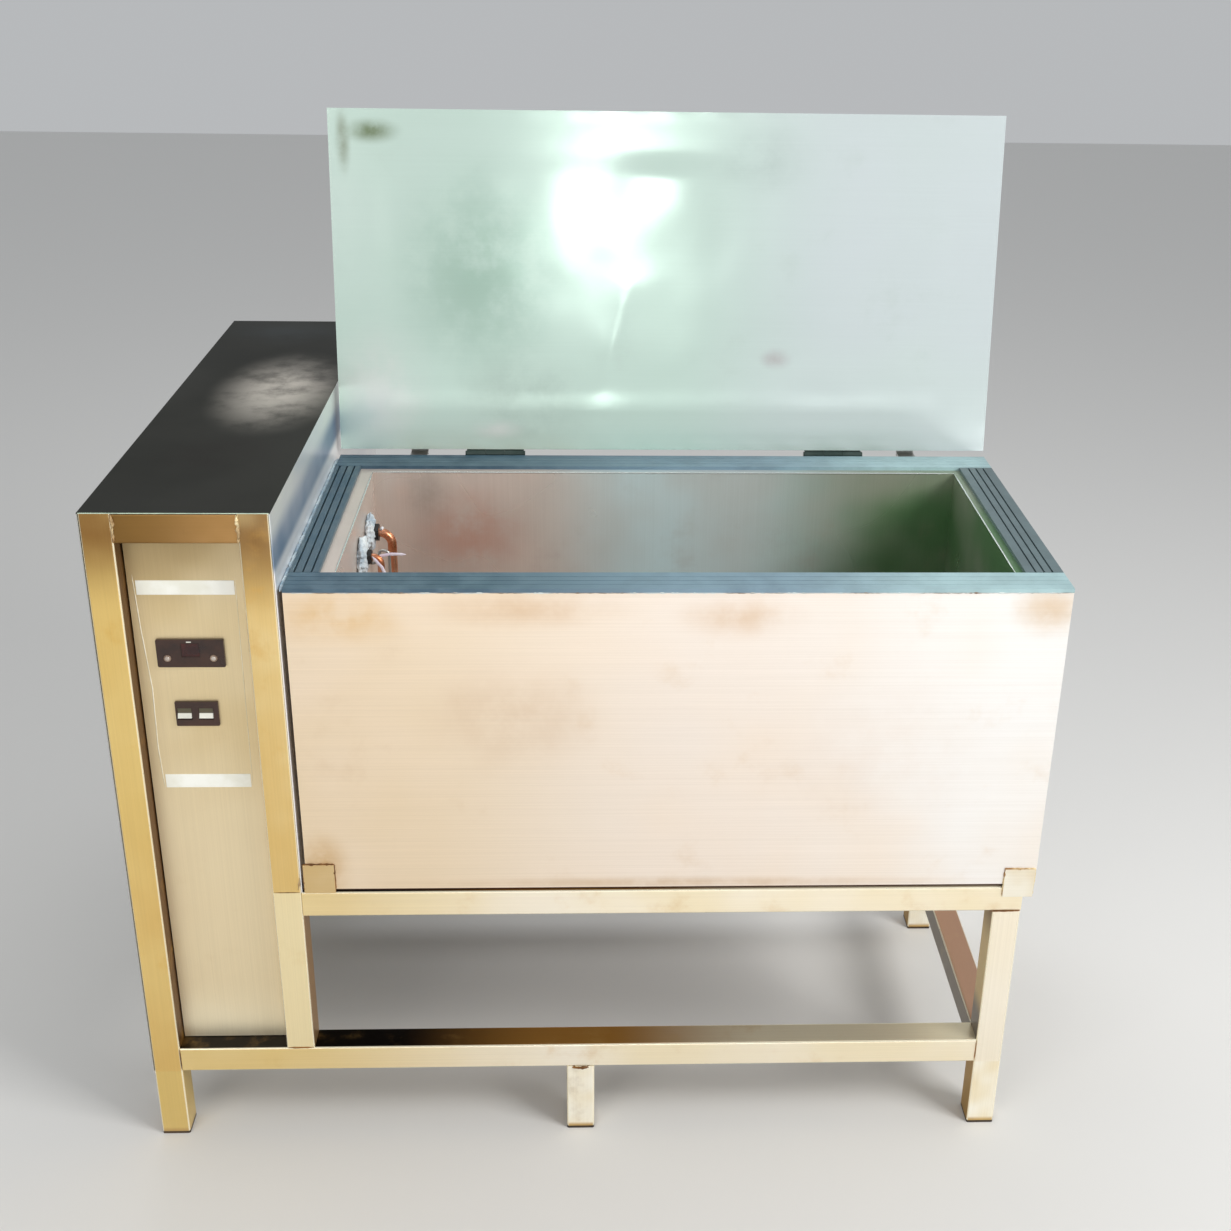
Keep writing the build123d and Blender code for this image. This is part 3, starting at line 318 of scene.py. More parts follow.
# ---------------------------------------------------------------- the object's materials
CREAM = srgb(254, 246, 230)
BROWN = srgb(120, 84, 42)
# light tone of rounded tube corners: wear and a painted highlight
CORNER_WEAR_AND_HIGHLIGHT = srgb(255, 246, 218)
SHADE_BROWN = srgb(112, 78, 42)

steel_post_left = brushed_steel(
    "steel_post_left", srgb(228, 192, 118), srgb(240, 212, 140), "Z", 5.0, stain=srgb(222, 170, 70),
    stain_amount=0.6, corner_wear_and_highlight=CORNER_WEAR_AND_HIGHLIGHT, sides=[("X", 1, [("Z", 0, 1, SHADE_BROWN)])],
    gradient=[("Z", 0.35, 0.55, srgb(232, 200, 124)), ("Z", 0.80, 0.92, srgb(142, 102, 50))])
steel_post_right = brushed_steel(
    "steel_post_right", srgb(230, 196, 126), srgb(242, 220, 164), "Z", 5.0, stain=srgb(218, 168, 84),
    stain_amount=0.55, corner_wear_and_highlight=CORNER_WEAR_AND_HIGHLIGHT, gradient=[("Z", 0.78, 0.92, srgb(136, 98, 52))])
# Inner leg: its right-facing sides are darker, a painted shade.
steel_leg_inner = brushed_steel("steel_leg_inner", srgb(248, 228, 176), srgb(246, 232, 192), "Z", 4.0,
                                stain=srgb(222, 190, 124), stain_amount=0.5, corner_wear_and_highlight=CORNER_WEAR_AND_HIGHLIGHT,
                                sides=[("X", 1, [("Z", 0, 1, srgb(186, 146, 100))])])
steel_top_rail = brushed_steel(
    "steel_top_rail", srgb(112, 82, 38), srgb(150, 112, 56), "X", 6.0, stain=srgb(96, 70, 36),
    stain_amount=0.6, gradient=[("X", left + 0.05, left + 0.18, srgb(196, 152, 98)),
                                ("Z", 0.6, 0.3, srgb(70, 74, 58))])
# Rail tops: black at the left, then brown, then cream, a painted shade and painted reflection on the upward
# faces.
steel_rail = brushed_steel(
    "steel_rail", srgb(236, 208, 142), srgb(248, 230, 184), "X", 3.0, stain=srgb(214, 172, 100),
    stain_amount=0.4, corner_wear_and_highlight=CORNER_WEAR_AND_HIGHLIGHT, gradient=[("X", left + 0.15, left + 0.6, CREAM)],
    sides=[("Z", 1, [("X", left + 0.2, left + 0.3, srgb(18, 12, 8)),
                     ("X", left + 0.33, left + 0.55, srgb(190, 136, 62)),
                     ("X", left + 0.62, left + 0.85, srgb(255, 246, 216))])])
# Right legs: the darker tops and the brown and grey tones on their left-facing sides are painted shade.
steel_leg = brushed_steel("steel_leg", CREAM, srgb(250, 238, 212), "Z", 3.0, stain=srgb(226, 198, 146),
                          stain_amount=0.35, corner_wear_and_highlight=CORNER_WEAR_AND_HIGHLIGHT,
                          sides=[("Z", 1, [("Y", 0, 1, srgb(206, 164, 136))]),
                                 ("X", -1, [("Z", 0.36, 0.3, srgb(232, 206, 152)), ("Z", 0.3, 0.38, BROWN),
                                            ("Z", 0.22, 0.18, srgb(150, 142, 132))])])
# Feet: their left-facing sides are darker, a painted shade.
steel_feet = brushed_steel("steel_feet", srgb(220, 190, 116), srgb(230, 204, 140), "Z", 6.0, metallic=0.45,
                           stain=srgb(150, 112, 48), stain_amount=0.4, corner_wear_and_highlight=CORNER_WEAR_AND_HIGHLIGHT,
                           sides=[("X", -1, [("X", 0, 1, srgb(176, 136, 60))])],
                           gradient=[("X", left + 0.3, left + 0.6, srgb(255, 252, 240)),
                                     ("Z", 0.012, 0.005, srgb(190, 152, 92))])
steel_back = brushed_steel("steel_back", srgb(196, 184, 158), srgb(214, 204, 182), "Z")
steel_tab_plate = brushed_steel("steel_tab", srgb(216, 186, 132), srgb(226, 202, 156), "X", 9.0,
                                stain=srgb(172, 132, 76), stain_amount=0.5,
                                gradient=[("X", left + 0.3, left + 0.9, srgb(248, 242, 226))])
steel_tank = brushed_steel(
    "steel_tank", srgb(238, 217, 186), srgb(246, 228, 208), "X", 2.2, roughness=0.44,
    stain=srgb(220, 192, 158), stain_amount=0.3,
    gradient=[("X", left + 0.3, left + 0.75, srgb(243, 232, 222)),
              ("X", left + 0.75, left + 1.15, srgb(249, 247, 245))],
    spots=[((left + 0.25, front, 0.44), (0.05, 0.2, 0.07), srgb(208, 168, 108), 0.9),
           ((left + 0.29, front, 0.80), (0.12, 0.2, 0.05), srgb(228, 190, 132), 0.8),
           ((left + 0.52, front, 0.81), (0.16, 0.2, 0.035), srgb(212, 174, 132), 0.5),
           ((left + 0.78, front, 0.80), (0.10, 0.2, 0.04), srgb(218, 186, 152), 0.6),
           ((left + 0.95, front, 0.60), (0.22, 0.2, 0.16), srgb(236, 222, 210), 0.4),
           ((left + 0.50, front, 0.66), (0.14, 0.2, 0.10), srgb(216, 188, 158), 0.5),
           ((left + 1.16, front, 0.81), (0.06, 0.2, 0.05), srgb(222, 192, 154), 0.7),
           ((left + 0.7, front, 0.415), (0.5, 0.2, 0.012), srgb(206, 176, 140), 0.6)])
steel_pan = brushed_steel("steel_pan", srgb(92, 62, 48), srgb(64, 44, 36), "X", roughness=0.5)
# Liner: the warm left end, the bluish middle and the reddish patch on the back wall are painted reflection;
# the dark green right end is painted reflection and painted shadow of the right wall.
steel_liner = brushed_steel(
    "steel_liner", srgb(228, 212, 202), srgb(202, 194, 186), "Z", 3.0, metallic=0.35, roughness=0.3,
    stain=srgb(176, 150, 138), stain_amount=0.2,
    gradient=[("X", left + 0.50, left + 0.66, srgb(214, 236, 240)),
              ("X", left + 0.80, left + 1.04, srgb(92, 134, 88))],
    spots=[((left + 0.42, CAVITY_Y[1], 0.74), (0.12, 0.06, 0.10), srgb(206, 150, 130), 0.7),
           ((left + 0.36, CAVITY_Y[1], 0.80), (0.05, 0.06, 0.06), srgb(170, 160, 150), 0.6)])
# Lid sheet: the two near-white patches low down are painted highlight, and the three broad grey-green
# patches are painted reflection.
steel_lid = brushed_steel(
    "steel_lid", srgb(226, 250, 238), srgb(236, 252, 246), "X", 1.4, metallic=0.62, roughness=0.17,
    brush=0.04, uneven=0.02, gradient=[("X", left + 0.7, left + 1.0, srgb(240, 250, 252))],
    stain=srgb(214, 232, 220), stain_amount=0.25,
    spots=[((left + 0.29, hinge.y + 0.06, 1.295), (0.05, 0.1, 0.022), srgb(112, 128, 76), 0.9),
           ((left + 0.25, hinge.y + 0.06, 1.28), (0.014, 0.1, 0.06), srgb(120, 120, 80), 0.7),
           ((left + 0.87, hinge.y + 0.03, 0.98), (0.03, 0.1, 0.02), srgb(206, 196, 196), 0.8),
           ((left + 0.44, hinge.y + 0.04, 1.10), (0.16, 0.2, 0.20), srgb(178, 212, 194), 0.75),
           ((left + 0.50, hinge.y + 0.02, 0.92), (0.12, 0.2, 0.09), srgb(186, 204, 192), 0.6),
           ((left + 0.84, hinge.y + 0.06, 1.26), (0.10, 0.2, 0.06), srgb(196, 214, 206), 0.5),
           ((left + 0.29, hinge.y + 0.01, 0.93), (0.10, 0.2, 0.12), srgb(250, 255, 250), 0.9),
           ((left + 0.46, hinge.y + 0.01, 0.875), (0.05, 0.2, 0.02), srgb(250, 255, 250), 0.9)])
steel_lid_outer = brushed_steel("steel_lid_outer", srgb(214, 218, 216), srgb(226, 228, 226), "X", 1.6,
                                roughness=0.32)
# Cabinet top: its near-black tone and the pale patch on it are painted reflection on satin steel.
steel_top_painted_reflection = brushed_steel(
    "steel_top_painted_reflection", srgb(24, 25, 17), srgb(40, 40, 34), "Y", 4.0, metallic=0.2, roughness=0.5, specular=0.16,
    spots=[((left + 0.15, front + 0.48, 0.93), (0.11, 0.22, 0.2), srgb(196, 190, 180), 1.0),
           ((left + 0.10, front + 0.80, 0.93), (0.14, 0.10, 0.2), srgb(50, 56, 58), 0.6),
           ((left + 0.12, front + 0.20, 0.93), (0.10, 0.10, 0.2), srgb(24, 20, 12), 0.8)])
# Cabinet right sheet: the bluish band and the lighter band above it are painted reflection.
steel_cabinet = brushed_steel(
    "steel_cabinet", srgb(255, 252, 252), srgb(216, 220, 230), "Y", 3.0, metallic=0.5, roughness=0.3,
    gradient=[("Z", 0.852, 0.868, srgb(104, 132, 164)), ("Z", 0.885, 0.915, srgb(232, 238, 234))])
steel_casing = brushed_steel("steel_casing", srgb(196, 196, 192), srgb(176, 180, 182), "Z", 3.0,
                             metallic=0.8, roughness=0.32)
steel_panel = brushed_steel(
    "steel_panel", srgb(234, 216, 180), srgb(238, 222, 186), "Z", 3.4, roughness=0.46,
    stain=srgb(208, 180, 134), stain_amount=0.35,
    gradient=[("Z", 0.25, 0.16, srgb(255, 244, 214)), ("Z", 0.45, 0.65, srgb(218, 196, 150)),
              ("Z", 0.78, 0.88, srgb(176, 154, 112))])
steel_plain = brushed_steel("steel_plain", srgb(190, 190, 186), srgb(170, 170, 168), "X", roughness=0.36)
steel_hinge = brushed_steel("steel_hinge", srgb(60, 74, 70), srgb(84, 96, 92), "X", 20.0)
strip_long = moulded("strip_long", srgb(56, 84, 102), srgb(78, 104, 120), 0.34,
                     gradient=[("X", left + 0.4, left + 0.75, srgb(120, 146, 162)),
                               ("X", left + 0.8, left + 1.1, srgb(166, 196, 200))])
strip_side = moulded("strip_side", srgb(62, 88, 104), srgb(78, 98, 110), 0.34,
                     gradient=[("X", left + 0.5, left + 0.9, srgb(96, 114, 118))])
black_plastic = moulded("black_plastic", srgb(26, 24, 24))
plug_plastic = moulded("plug_plastic", srgb(70, 52, 30), srgb(44, 34, 22))
dark_bezel = moulded("dark_bezel", srgb(62, 38, 28), srgb(40, 26, 22), 0.22)
foam = moulded("foam", srgb(226, 206, 150), srgb(214, 188, 128), 0.85, 420, 0.4)
copper = moulded("copper_pipe", srgb(236, 172, 140), srgb(196, 118, 78), 0.26, 90, 0.1, 0.85)
brass = moulded("plated_brass", srgb(190, 178, 150), srgb(168, 150, 110), 0.32, 120, 0.1, 0.95)
red_dip = moulded("red_dip", srgb(150, 24, 20), roughness=0.4)
aluminium = moulded("fin_aluminium", srgb(200, 202, 204), roughness=0.35, metallic=0.9)
gloss_black = moulded("gloss_black", srgb(18, 18, 19), roughness=0.2)
grey_box = moulded("grey_box", srgb(130, 134, 136), roughness=0.5)
# The rockers turn dark above their middle, a painted shade on the upper halves that face down.
rocker_plastic = moulded("rocker_plastic", srgb(226, 226, 216), srgb(206, 208, 198), roughness=0.3,
                         gradient=[("Z", 0.6562, 0.6572, srgb(84, 78, 58))])
button_plastic = moulded("button_plastic", srgb(150, 128, 110), srgb(96, 74, 62), roughness=0.25)

FINISHES = {
    steel_post_left: ["post_front_left"],
    steel_post_right: ["post_front_right"],
    steel_leg_inner: ["leg_front_inner"],
    steel_top_rail: ["cabinet_cross_rails"],
    steel_rail: ["lower_front_rail", "upper_front_rail"],
    steel_leg: ["right_legs", "right_side_rails"],
    steel_feet: ["feet"],
    steel_tab_plate: ["corner_tabs"],
    steel_back: ["back_posts", "upper_back_rail", "lower_back_rail", "cabinet_side_rails"],
    steel_tank: ["tank_shell"],
    steel_pan: ["tank_bottom_pan"],
    steel_liner: ["tank_liner"],
    steel_lid: ["lid_inner_skin"],
    steel_lid_outer: ["lid_outer_skin"],
    steel_top_painted_reflection: ["cabinet_top"],
    steel_cabinet: ["cabinet_right_sheet"],
    steel_casing: ["cabinet_left_sheet", "back_panel"],
    steel_panel: ["front_panel"],
    steel_plain: ["unit_shelf", "coil_supports", "fan_shroud", "lid_stops", "lid_handle",
                  "drain_fitting", "drain_ball", "temperature_probe"],
    steel_hinge: ["hinge_pins", "hinge_fixed_leaves", "lid_hinge_leaves"],
    strip_long: ["rim_strips_long"],
    strip_side: ["rim_strips_side"],
    black_plastic: ["pipe_glands", "cable_gland", "fan_blades", "fan_motor"],
    plug_plastic: ["foot_plugs"],
    dark_bezel: ["controller", "switch_frame"],
    rocker_plastic: ["rocker_left", "rocker_right"],
    button_plastic: ["button_left", "button_right"],
    foam: ["tank_insulation", "lid_core", "pipe_wraps"],
    copper: ["suction_line", "refrigerant_lines", "evaporator_coil", "filter_drier"],
    brass: ["drain_valve_body"],
    red_dip: ["drain_lever"],
    aluminium: ["condenser_coil"],
    gloss_black: ["compressor"],
    grey_box: ["control_box"],
}
for finish, names in FINISHES.items():
    for name in names:
        dress(NODES[name], finish)


# ---------------------------------------------------------------- making pieces
def finish_piece(name, work, material, body="root", angle=32):
    """Turn worked geometry into a named piece on its body, with its look."""
    mesh = bpy.data.meshes.new(name)
    work.to_mesh(mesh)
    work.free()
    piece = bpy.data.objects.new(name, mesh)
    bpy.context.scene.collection.objects.link(piece)
    dress(piece, material, angle)
    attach(piece, body)
    return piece


def add_piece(name, vertices, faces, material, body="root", angle=32):
    """Piece from vertices, and faces given as their numbers."""
    work = bmesh.new()
    made = [work.verts.new(v) for v in vertices]
    for face in faces:
        work.faces.new([made[i] for i in face])
    bmesh.ops.recalc_face_normals(work, faces=work.faces)
    return finish_piece(name, work, material, body, angle)


def ring_faces(rings, sides):
    """The faces between rings of vertices that are numbered ring by ring."""
    faces = []
    for ring in range(rings - 1):
        for corner in range(sides):
            here, after = ring * sides + corner, ring * sides + (corner + 1) % sides
            faces.append((here, after, after + sides, here + sides))
    return faces


def bead(name, points, radius, material, lump=0.45, step=0.003, squash=1.0, sides=8):
    """Uneven rod of weld metal or sealant along straight runs, thinning to its two ends."""
    points = [Vector(point) for point in points]
    path = []
    for start, end in zip(points, points[1:]):
        count = max(1, round((end - start).length / step))
        path += [start.lerp(end, number / count) for number in range(count)]
    path.append(points[-1])
    last = len(path) - 1
    vertices = []
    for index, point in enumerate(path):
        ahead = (path[min(index + 1, last)] - path[max(index - 1, 0)]).normalized()
        side = ahead.cross(Vector((0.31, 0.53, 0.79))).normalized()
        up = ahead.cross(side)
        taper = min(1.0, 0.25 + index / 4, 0.25 + (last - index) / 4)
        for corner in range(sides):
            angle = 2 * math.pi * corner / sides
            around = math.cos(angle) * side + math.sin(angle) * up
            uneven = 1 + lump * noise.noise((point + around * radius) * 260)
            offset = around * radius * uneven * taper
            offset.y *= squash
            vertices.append(point + offset)
    faces = ring_faces(len(path), sides)
    faces.append(tuple(range(sides))[::-1])
    faces.append(tuple(last * sides + corner for corner in range(sides)))
    return add_piece(name, vertices, faces, material, angle=60)


def plate(name, low, high, material, corner):
    """Thin box with softened edges."""
    work = bmesh.new()
    bmesh.ops.create_cube(work, size=1.0)
    middle = (Vector(low) + Vector(high)) / 2
    size = Vector(high) - Vector(low)
    for vertex in work.verts:
        vertex.co = middle + Vector(c * s for c, s in zip(vertex.co, size))
    bmesh.ops.bevel(work, geom=work.edges, offset=min(corner, min(size) * 0.45), segments=2, affect="EDGES")
    return finish_piece(name, work, material)


def turned(name, profile, place, outwards, material, sides=24):
    """Round piece turned from (radius, height) points, standing on a surface that faces outwards."""
    outwards = Vector(outwards).normalized()
    side = outwards.orthogonal().normalized()
    up = outwards.cross(side)
    vertices = []
    for radius, height in profile:
        for corner in range(sides):
            angle = 2 * math.pi * corner / sides
            around = math.cos(angle) * side + math.sin(angle) * up
            vertices.append(Vector(place) + around * radius + outwards * height)
    faces = [tuple(range(sides)), tuple(range(len(vertices) - sides, len(vertices)))]
    faces += ring_faces(len(profile), sides)
    return add_piece(name, vertices, faces, material, angle=40)


def smooth_step(value, low, high):
    share = min(1.0, max(0.0, (value - low) / (high - low)))
    return share * share * (3 - 2 * share)


# ---------------------------------------------------------------- lid: dented inner sheet
def on_lid(x, height, out):
    """A place on the open lid: across, up from the hinge axis, and out of the inner face."""
    slope = Vector((0, math.sin(LID_LEAN), math.cos(LID_LEAN)))
    facing = Vector((0, -math.cos(LID_LEAN), math.sin(LID_LEAN)))
    return Vector((x, hinge.y, hinge.z)) + height * slope + out * facing


LID_REACH = (lid_high.z - hinge.z) / math.cos(LID_LEAN)
HINGE_GAP = 0.5 * MM        # keeps the sheet clear of the hinge necks when the lid is closed
LID_FOOT = (lid_low.z - hinge.z) / math.cos(LID_LEAN) + HINGE_GAP
HELD_EDGE = (0.050, 0.095)  # flat up to the first distance from an edge, free past the second
LID_BULGES = [  # across and up the lid as shares, half sizes as shares, height in mm
    (0.20, 0.45, 0.16, 0.34, 1.2), (0.51, 0.80, 0.085, 0.17, 2.8), (0.72, 0.42, 0.15, 0.30, 1.0),
    (0.88, 0.60, 0.10, 0.30, 1.2), (0.50, 0.22, 0.12, 0.14, 0.8),
]
CREASE_LOW, CREASE_HIGH = Vector((0.385, 0.05)), Vector((0.44, 0.5))


def lid_dent(across, up):
    """How far the sheet stands out of flat, in metres, from its shares across and up."""
    width = lid_high.x - lid_low.x
    crease_height, crease_reach, wave_height, hem_height = 1.5, 0.03, 0.45, 0.15
    from_edge = min(across * width, (1 - across) * width, up * LID_REACH, (1 - up) * LID_REACH)
    held = smooth_step(from_edge, *HELD_EDGE)
    height = 0.0
    for middle, level, half, half_up, rise in LID_BULGES:
        height += rise * math.exp(-((across - middle) / half) ** 2 - ((up - level) / half_up) ** 2)
    place = Vector((across, up))
    along = CREASE_HIGH - CREASE_LOW
    share = min(1.0, max(0.0, (place - CREASE_LOW).dot(along) / along.length_squared))
    away = (place - CREASE_LOW - share * along).length
    height += crease_height * math.exp(-away / crease_reach) * math.sin(math.pi * (0.15 + 0.7 * share))
    waves = noise.noise(Vector((across * 7, up * 4, 0.3)))
    waves += 0.4 * noise.noise(Vector((across * 19, up * 9, 4)))
    ripple = 1 + 0.5 * math.sin(across * 90 + up * 70)
    hem = hem_height * (1 - smooth_step(from_edge, 0.004, 0.014)) * ripple
    return MM * (held * (height + wave_height * waves) + hem)


def lid_sheet():
    """The lid's inner sheet: a dented front, a flat back 1 mm behind it, and the edge between."""
    columns, rows = 150, 76
    width = lid_high.x - lid_low.x
    vertices, faces = [], []
    for row in range(rows + 1):
        up = row / rows
        for column in range(columns + 1):
            across = column / columns
            height = LID_FOOT + up * (LID_REACH - LID_FOOT)
            vertices.append(on_lid(lid_low.x + across * width, height, lid_dent(across, up)))
    across_row = columns + 1
    for row in range(rows):
        for column in range(columns):
            here = row * across_row + column
            faces.append((here, here + 1, here + 1 + across_row, here + across_row))
    rim = list(range(columns)) + [columns + row * across_row for row in range(rows)]
    rim += [rows * across_row + column for column in range(columns, 0, -1)]
    rim += [row * across_row for row in range(rows, 0, -1)]
    first_back = len(vertices)
    back = Vector((0, math.cos(LID_LEAN), -math.sin(LID_LEAN))) * MM
    for index in rim:
        row, column = divmod(index, across_row)
        height = LID_FOOT + row / rows * (LID_REACH - LID_FOOT)
        flat = on_lid(lid_low.x + column / columns * width, height, 0)
        vertices.append(flat + back)
    for number, index in enumerate(rim):
        after = (number + 1) % len(rim)
        faces.append((index, rim[after], first_back + after, first_back + number))
    faces.append(tuple(first_back + number for number in range(len(rim))))
    sheet = add_piece("lid_inner_sheet", vertices, faces, steel_lid, "lid", angle=50)
    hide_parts("lid_inner_skin")


lid_sheet()


# ---------------------------------------------------------------- welds and splices of the frame
def cover_edge():
    """Cut edge of the cabinet's top sheet along its front: bare metal, painted bright as a highlight on that
    edge.
    """
    edge_highlight_paint = brushed_steel("steel_cut_edge_painted_highlight", srgb(214, 232, 214), srgb(170, 190, 176), "X", 30.0,
                         roughness=0.25)
    plate("cover_edge_painted_highlight", (cover_low.x + 0.002, front - 0.0003, cover_low.z + 0.0001),
          (cover_high.x - 0.001, front + 0.0003, cover_high.z - 0.0002), edge_highlight_paint, 0.0002)


cover_edge()


def weld_seams():
    """Beads and splices on the front of the frame."""
    weld = moulded("weld_metal", srgb(232, 214, 170), srgb(150, 106, 56), 0.4, 300, 0.6, 0.6)
    burnt = moulded("weld_burnt", srgb(150, 104, 52), srgb(92, 58, 30), 0.5, 300, 0.5, 0.5)
    face = front - 0.0002
    rail_low, rail_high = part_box("cabinet_cross_rails")
    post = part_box("post_front_right")
    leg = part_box("leg_front_inner")
    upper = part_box("upper_front_rail")
    right_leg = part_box("right_legs")
    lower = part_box("lower_front_rail")
    top = cover_low.z
    for side, x in (("left", rail_low.x), ("right", rail_high.x)):
        run = [(x, face, top - 0.037), (x + 0.001, face, top - 0.02), (x, face, top - 0.001)]
        bead("weld_top_rail_" + side, run, 0.0019, weld, 1.3, 0.0013)
    bead("splice_right_post", [(post[0].x + 0.002, face, leg[1].z), (post[1].x - 0.002, face, leg[1].z)],
         0.0005, burnt)
    bead("weld_blob_right_post", [(post[1].x - 0.004, face, leg[1].z + 0.004),
                                  (post[1].x - 0.001, face, leg[1].z + 0.022)], 0.0016, weld,
         0.8)
    bead("weld_foot_inner_leg", [(leg[0].x + 0.002, face, leg[0].z + 0.0005),
                                 (leg[1].x - 0.001, face, leg[0].z + 0.0005)], 0.0009, burnt)
    bead("weld_right_leg_top", [(right_leg[0].x - 0.004, face, upper[0].z),
                                (right_leg[1].x - 0.002, face, upper[0].z)], 0.0010, burnt)
    for side, x, radius in (("right", right_leg[0].x, 0.0007), ("left", rail_low.x, 0.0006)):
        bead(f"weld_{side}_rail_end", [(x, face, lower[0].z + 0.002), (x, face, lower[1].z - 0.001)],
             radius, burnt)
    middle = Vector((left + 0.585, front + 0.019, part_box("feet")[1].z))
    around = 0.0205
    ring = [middle + Vector((around * math.cos(a), around * math.sin(a), -0.0015))
            for a in (math.radians(step * 15) for step in range(25))]
    bead("weld_middle_foot", ring, 0.0019, burnt, 0.8)
    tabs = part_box("corner_tabs")
    wide, tall = 0.040, 0.043
    for side, x, z in (("left", tabs[0].x, leg[1].z + 0.0004), ("right", tabs[1].x - wide, tabs[0].z)):
        y = front - 0.0006
        edge = [(x, y, z), (x, y, z + tall), (x + wide, y, z + tall), (x + wide, y, z + 0.002)]
        bead("weld_tab_" + side, edge, 0.0012, weld if side == "right" else burnt, 0.9, 0.0018)


weld_seams()


# ---------------------------------------------------------------- sealant and sheet edges of the rim
def rim_seals():
    """Sealant under the front strip and beside the cabinet, and the liner's folded edge."""
    sealant = moulded("sealant", srgb(214, 222, 220), srgb(120, 92, 66), 0.55, 200, 0.4)
    pale = moulded("sealant_clear", srgb(206, 222, 232), srgb(140, 168, 190), 0.3, 160, 0.4)
    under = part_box("rim_strips_long")[0].z - 0.0004
    face = front - 0.0002
    bead("sealant_front", [(shell_low.x + 0.004, face, under), (shell_high.x - 0.004, face, under)],
         0.0010, sealant, 0.95, 0.003)
    gap_x = (cover_high.x + shell_low.x) / 2
    bead("sealant_wall", [(gap_x, front + 0.004, under), (gap_x, shell_high.y - 0.004, under)], 0.0031, pale,
         0.7, 0.004)
    edge = srgb(236, 240, 238)
    bright = brushed_steel("steel_edge", edge, edge, "X", metallic=0.8, roughness=0.25)
    top = liner_top + 0.0003
    runs = {"back": [(CAVITY_X[0], CAVITY_Y[1], top), (CAVITY_X[1], CAVITY_Y[1], top)],
            "left": [(CAVITY_X[0], CAVITY_Y[0] + 0.002, top), (CAVITY_X[0], CAVITY_Y[1], top)],
            "right": [(CAVITY_X[1], CAVITY_Y[0] + 0.002, top), (CAVITY_X[1], CAVITY_Y[1], top)]}
    for side, run in runs.items():
        bead("liner_fold_" + side, run, 0.0011, bright, 0.2, 0.01)


rim_seals()


# ---------------------------------------------------------------- pipe wraps, tie and lead ends
def lump(name, middle, size, material, slot, seed):
    """Ragged ball of wrapping tape round a pipe."""
    work = bmesh.new()
    bmesh.ops.create_icosphere(work, subdivisions=5, radius=1.0)
    for vertex in work.verts:
        way = vertex.co.normalized()
        fold = noise.noise(way * 2.2 + Vector((seed, 0, 0))) * 0.2
        fold += noise.noise(way * 7 + Vector((0, seed, 0))) * 0.1
        ridge = 0.05 * math.sin(way.z * 22 + way.y * 9)
        vertex.co = Vector(middle) + Vector(w * (1 + fold + ridge) * s for w, s in zip(way, size))
        vertex.co.x = max(vertex.co.x, CAVITY_X[0] + 0.0002)
    return finish_piece(name, work, material, angle=180)


def wrapped_pipes():
    """Tape wound round the two pipes, and the ends of three ties."""
    tape = moulded("wrap_tape", srgb(232, 236, 238), srgb(176, 190, 202), 0.8, 300, 0.5)
    low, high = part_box("pipe_wraps")
    thick = high.x - low.x
    suction = lump("wrap_suction_pipe", (low.x + thick * 0.40, high.y - 0.0275, high.z - 0.027),
                   (thick * 0.85, 0.029, 0.0255), tape, "wrap_foam", 1.3)
    liquid = lump("wrap_liquid_pipe", (low.x + thick * 0.40, low.y + 0.0250, low.z + 0.025),
                  (thick * 0.85, 0.030, 0.0265), tape, "wrap_foam", 5.7)
    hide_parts("pipe_wraps")
    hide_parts("pipe_wraps")
    strap = moulded("tie_strap", srgb(252, 252, 252), srgb(226, 214, 232), 0.35)
    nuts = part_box("pipe_glands")
    for name, y, z, tail in (("tie_back", nuts[1].y - 0.012, nuts[1].z - 0.010, (0.006, -0.016, 0.008)),
                             ("tie_side", nuts[0].y + 0.014, nuts[0].z + 0.008, (0.044, 0.006, 0.002)),
                             ("tie_down", nuts[0].y + 0.004, nuts[0].z + 0.014, (0.022, -0.006, -0.036))):
        start = Vector((nuts[1].x + 0.001, y, z))
        middle = start + Vector(tail) * 0.5 + Vector((0.002, 0, 0.003))
        bead(name, [start, middle, start + Vector(tail)], 0.0023, strap, 0.2, 0.002, 0.5)


wrapped_pipes()


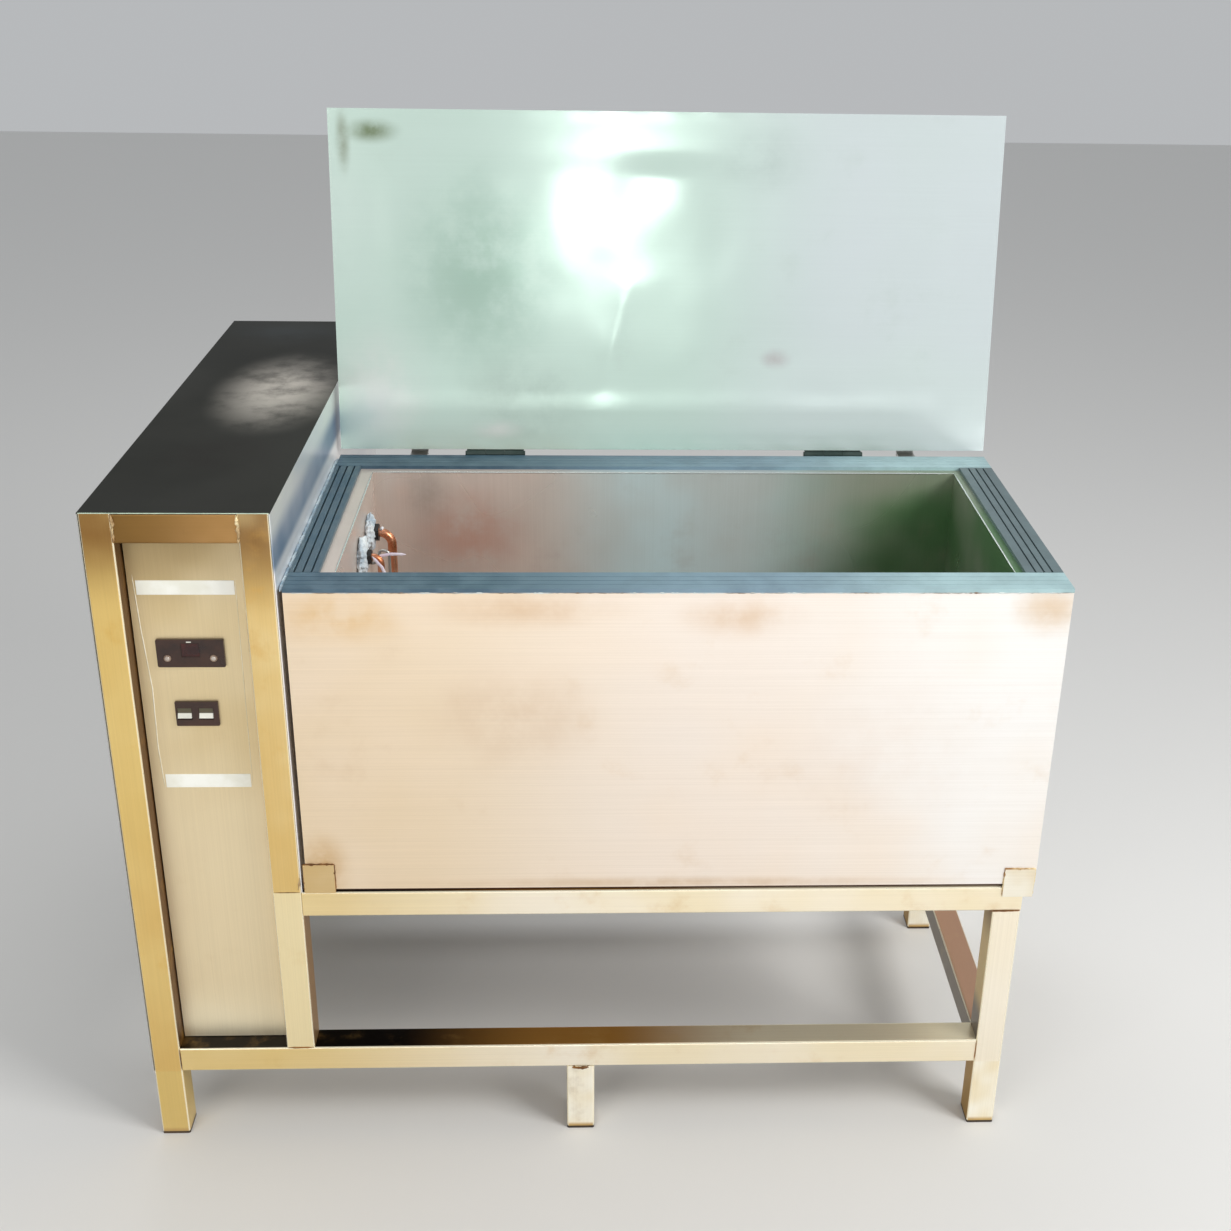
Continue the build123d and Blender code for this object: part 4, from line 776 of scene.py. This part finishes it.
# ---------------------------------------------------------------- front panel: labels, film, display
def panel_details():
    """Label strips, film edges, the controller's window and dash, and pale button caps that are painted
    glints.
    """
    label_paper = moulded("label_paper", srgb(244, 245, 238), srgb(232, 232, 220), 0.5, 200, 0.15)
    film_edge = moulded("film_edge", srgb(236, 232, 216), srgb(214, 204, 176), 0.25)
    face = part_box("front_panel")[0].y
    for name, low, high in (("label_upper", (0.0505, 0.8185), (0.1685, 0.8375)),
                            ("label_lower", (0.0580, 0.5478), (0.1655, 0.5672))):
        plate(name, (left + low[0], face - 0.0006, low[1]), (left + high[0], face + 0.0004, high[1]),
              label_paper, 0.0003)
    film_runs = {"left": (0.0006, [(0.0475, 0.8450), (0.0505, 0.77), (0.0555, 0.69), (0.0535, 0.61),
                                   (0.0560, 0.545)]),
                 "right": (0.0004, [(0.1700, 0.8400), (0.1690, 0.74), (0.1680, 0.65), (0.1672, 0.55)])}
    for side, (radius, places) in film_runs.items():
        bead("film_edge_" + side, [(left + x, face, z) for x, z in places], radius, film_edge,
             0.6, 0.004)

    low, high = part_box("controller")
    glass = moulded("display_glass", srgb(74, 26, 20), srgb(38, 14, 14), 0.12, 120, 0.02)
    lamp = moulded("status_dash", srgb(236, 236, 226), srgb(220, 220, 210), 0.3)
    recess = low.y + 0.001
    plate("display_window", (low.x + 0.0306, recess - 0.0004, low.z + 0.0146),
          (high.x - 0.0306, recess + 0.0006, high.z - 0.0056), glass, 0.0002)
    middle = (low.x + high.x) / 2
    plate("status_dash", (middle - 0.004, low.y - 0.0003, high.z - 0.0040),
          (middle + 0.002, low.y + 0.0004, high.z - 0.0026), lamp, 0.0002)
    # pale caps on the buttons, a painted highlight standing in for their glints
    glint_cap_paint = moulded("button_cap_painted_glint", srgb(206, 200, 192), srgb(170, 150, 136), 0.15, metallic=0.5)
    cap = [(0.0001, 0.0006), (0.0016, 0.0005), (0.0028, 0.0001), (0.0029, -0.0004)]
    for name in ("button_left", "button_right"):
        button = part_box(name)
        place = ((button[0].x + button[1].x) / 2, button[0].y, (button[0].z + button[1].z) / 2)
        piece = turned("cap_" + name, cap, place, (0, -1, 0), glint_cap_paint)
        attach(piece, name)


panel_details()


# ---------------------------------------------------------------- hinge screws
def hinge_screws():
    """Three countersunk screws in each fixed hinge leaf, seen from behind."""
    screw = brushed_steel("steel_screw", srgb(170, 170, 166), srgb(140, 140, 138), "X")
    head = [(0.0001, 0.0007), (0.0012, 0.0007), (0.0013, 0.0016),
            (0.0024, 0.0014), (0.0033, 0.0008), (0.0036, 0.0)]
    low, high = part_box("hinge_fixed_leaves")
    half_leaf, screw_pitch = 0.042, 0.030
    leaf_face = low.y + 0.002
    for side, middle in (("left", low.x + half_leaf), ("right", high.x - half_leaf)):
        for number, offset in enumerate((-screw_pitch, 0.0, screw_pitch)):
            place = (middle + offset, leaf_face, low.z + 0.009)
            turned(f"hinge_screw_{side}_{number}", head, place, (0, 1, 0), screw, 20)


hinge_screws()
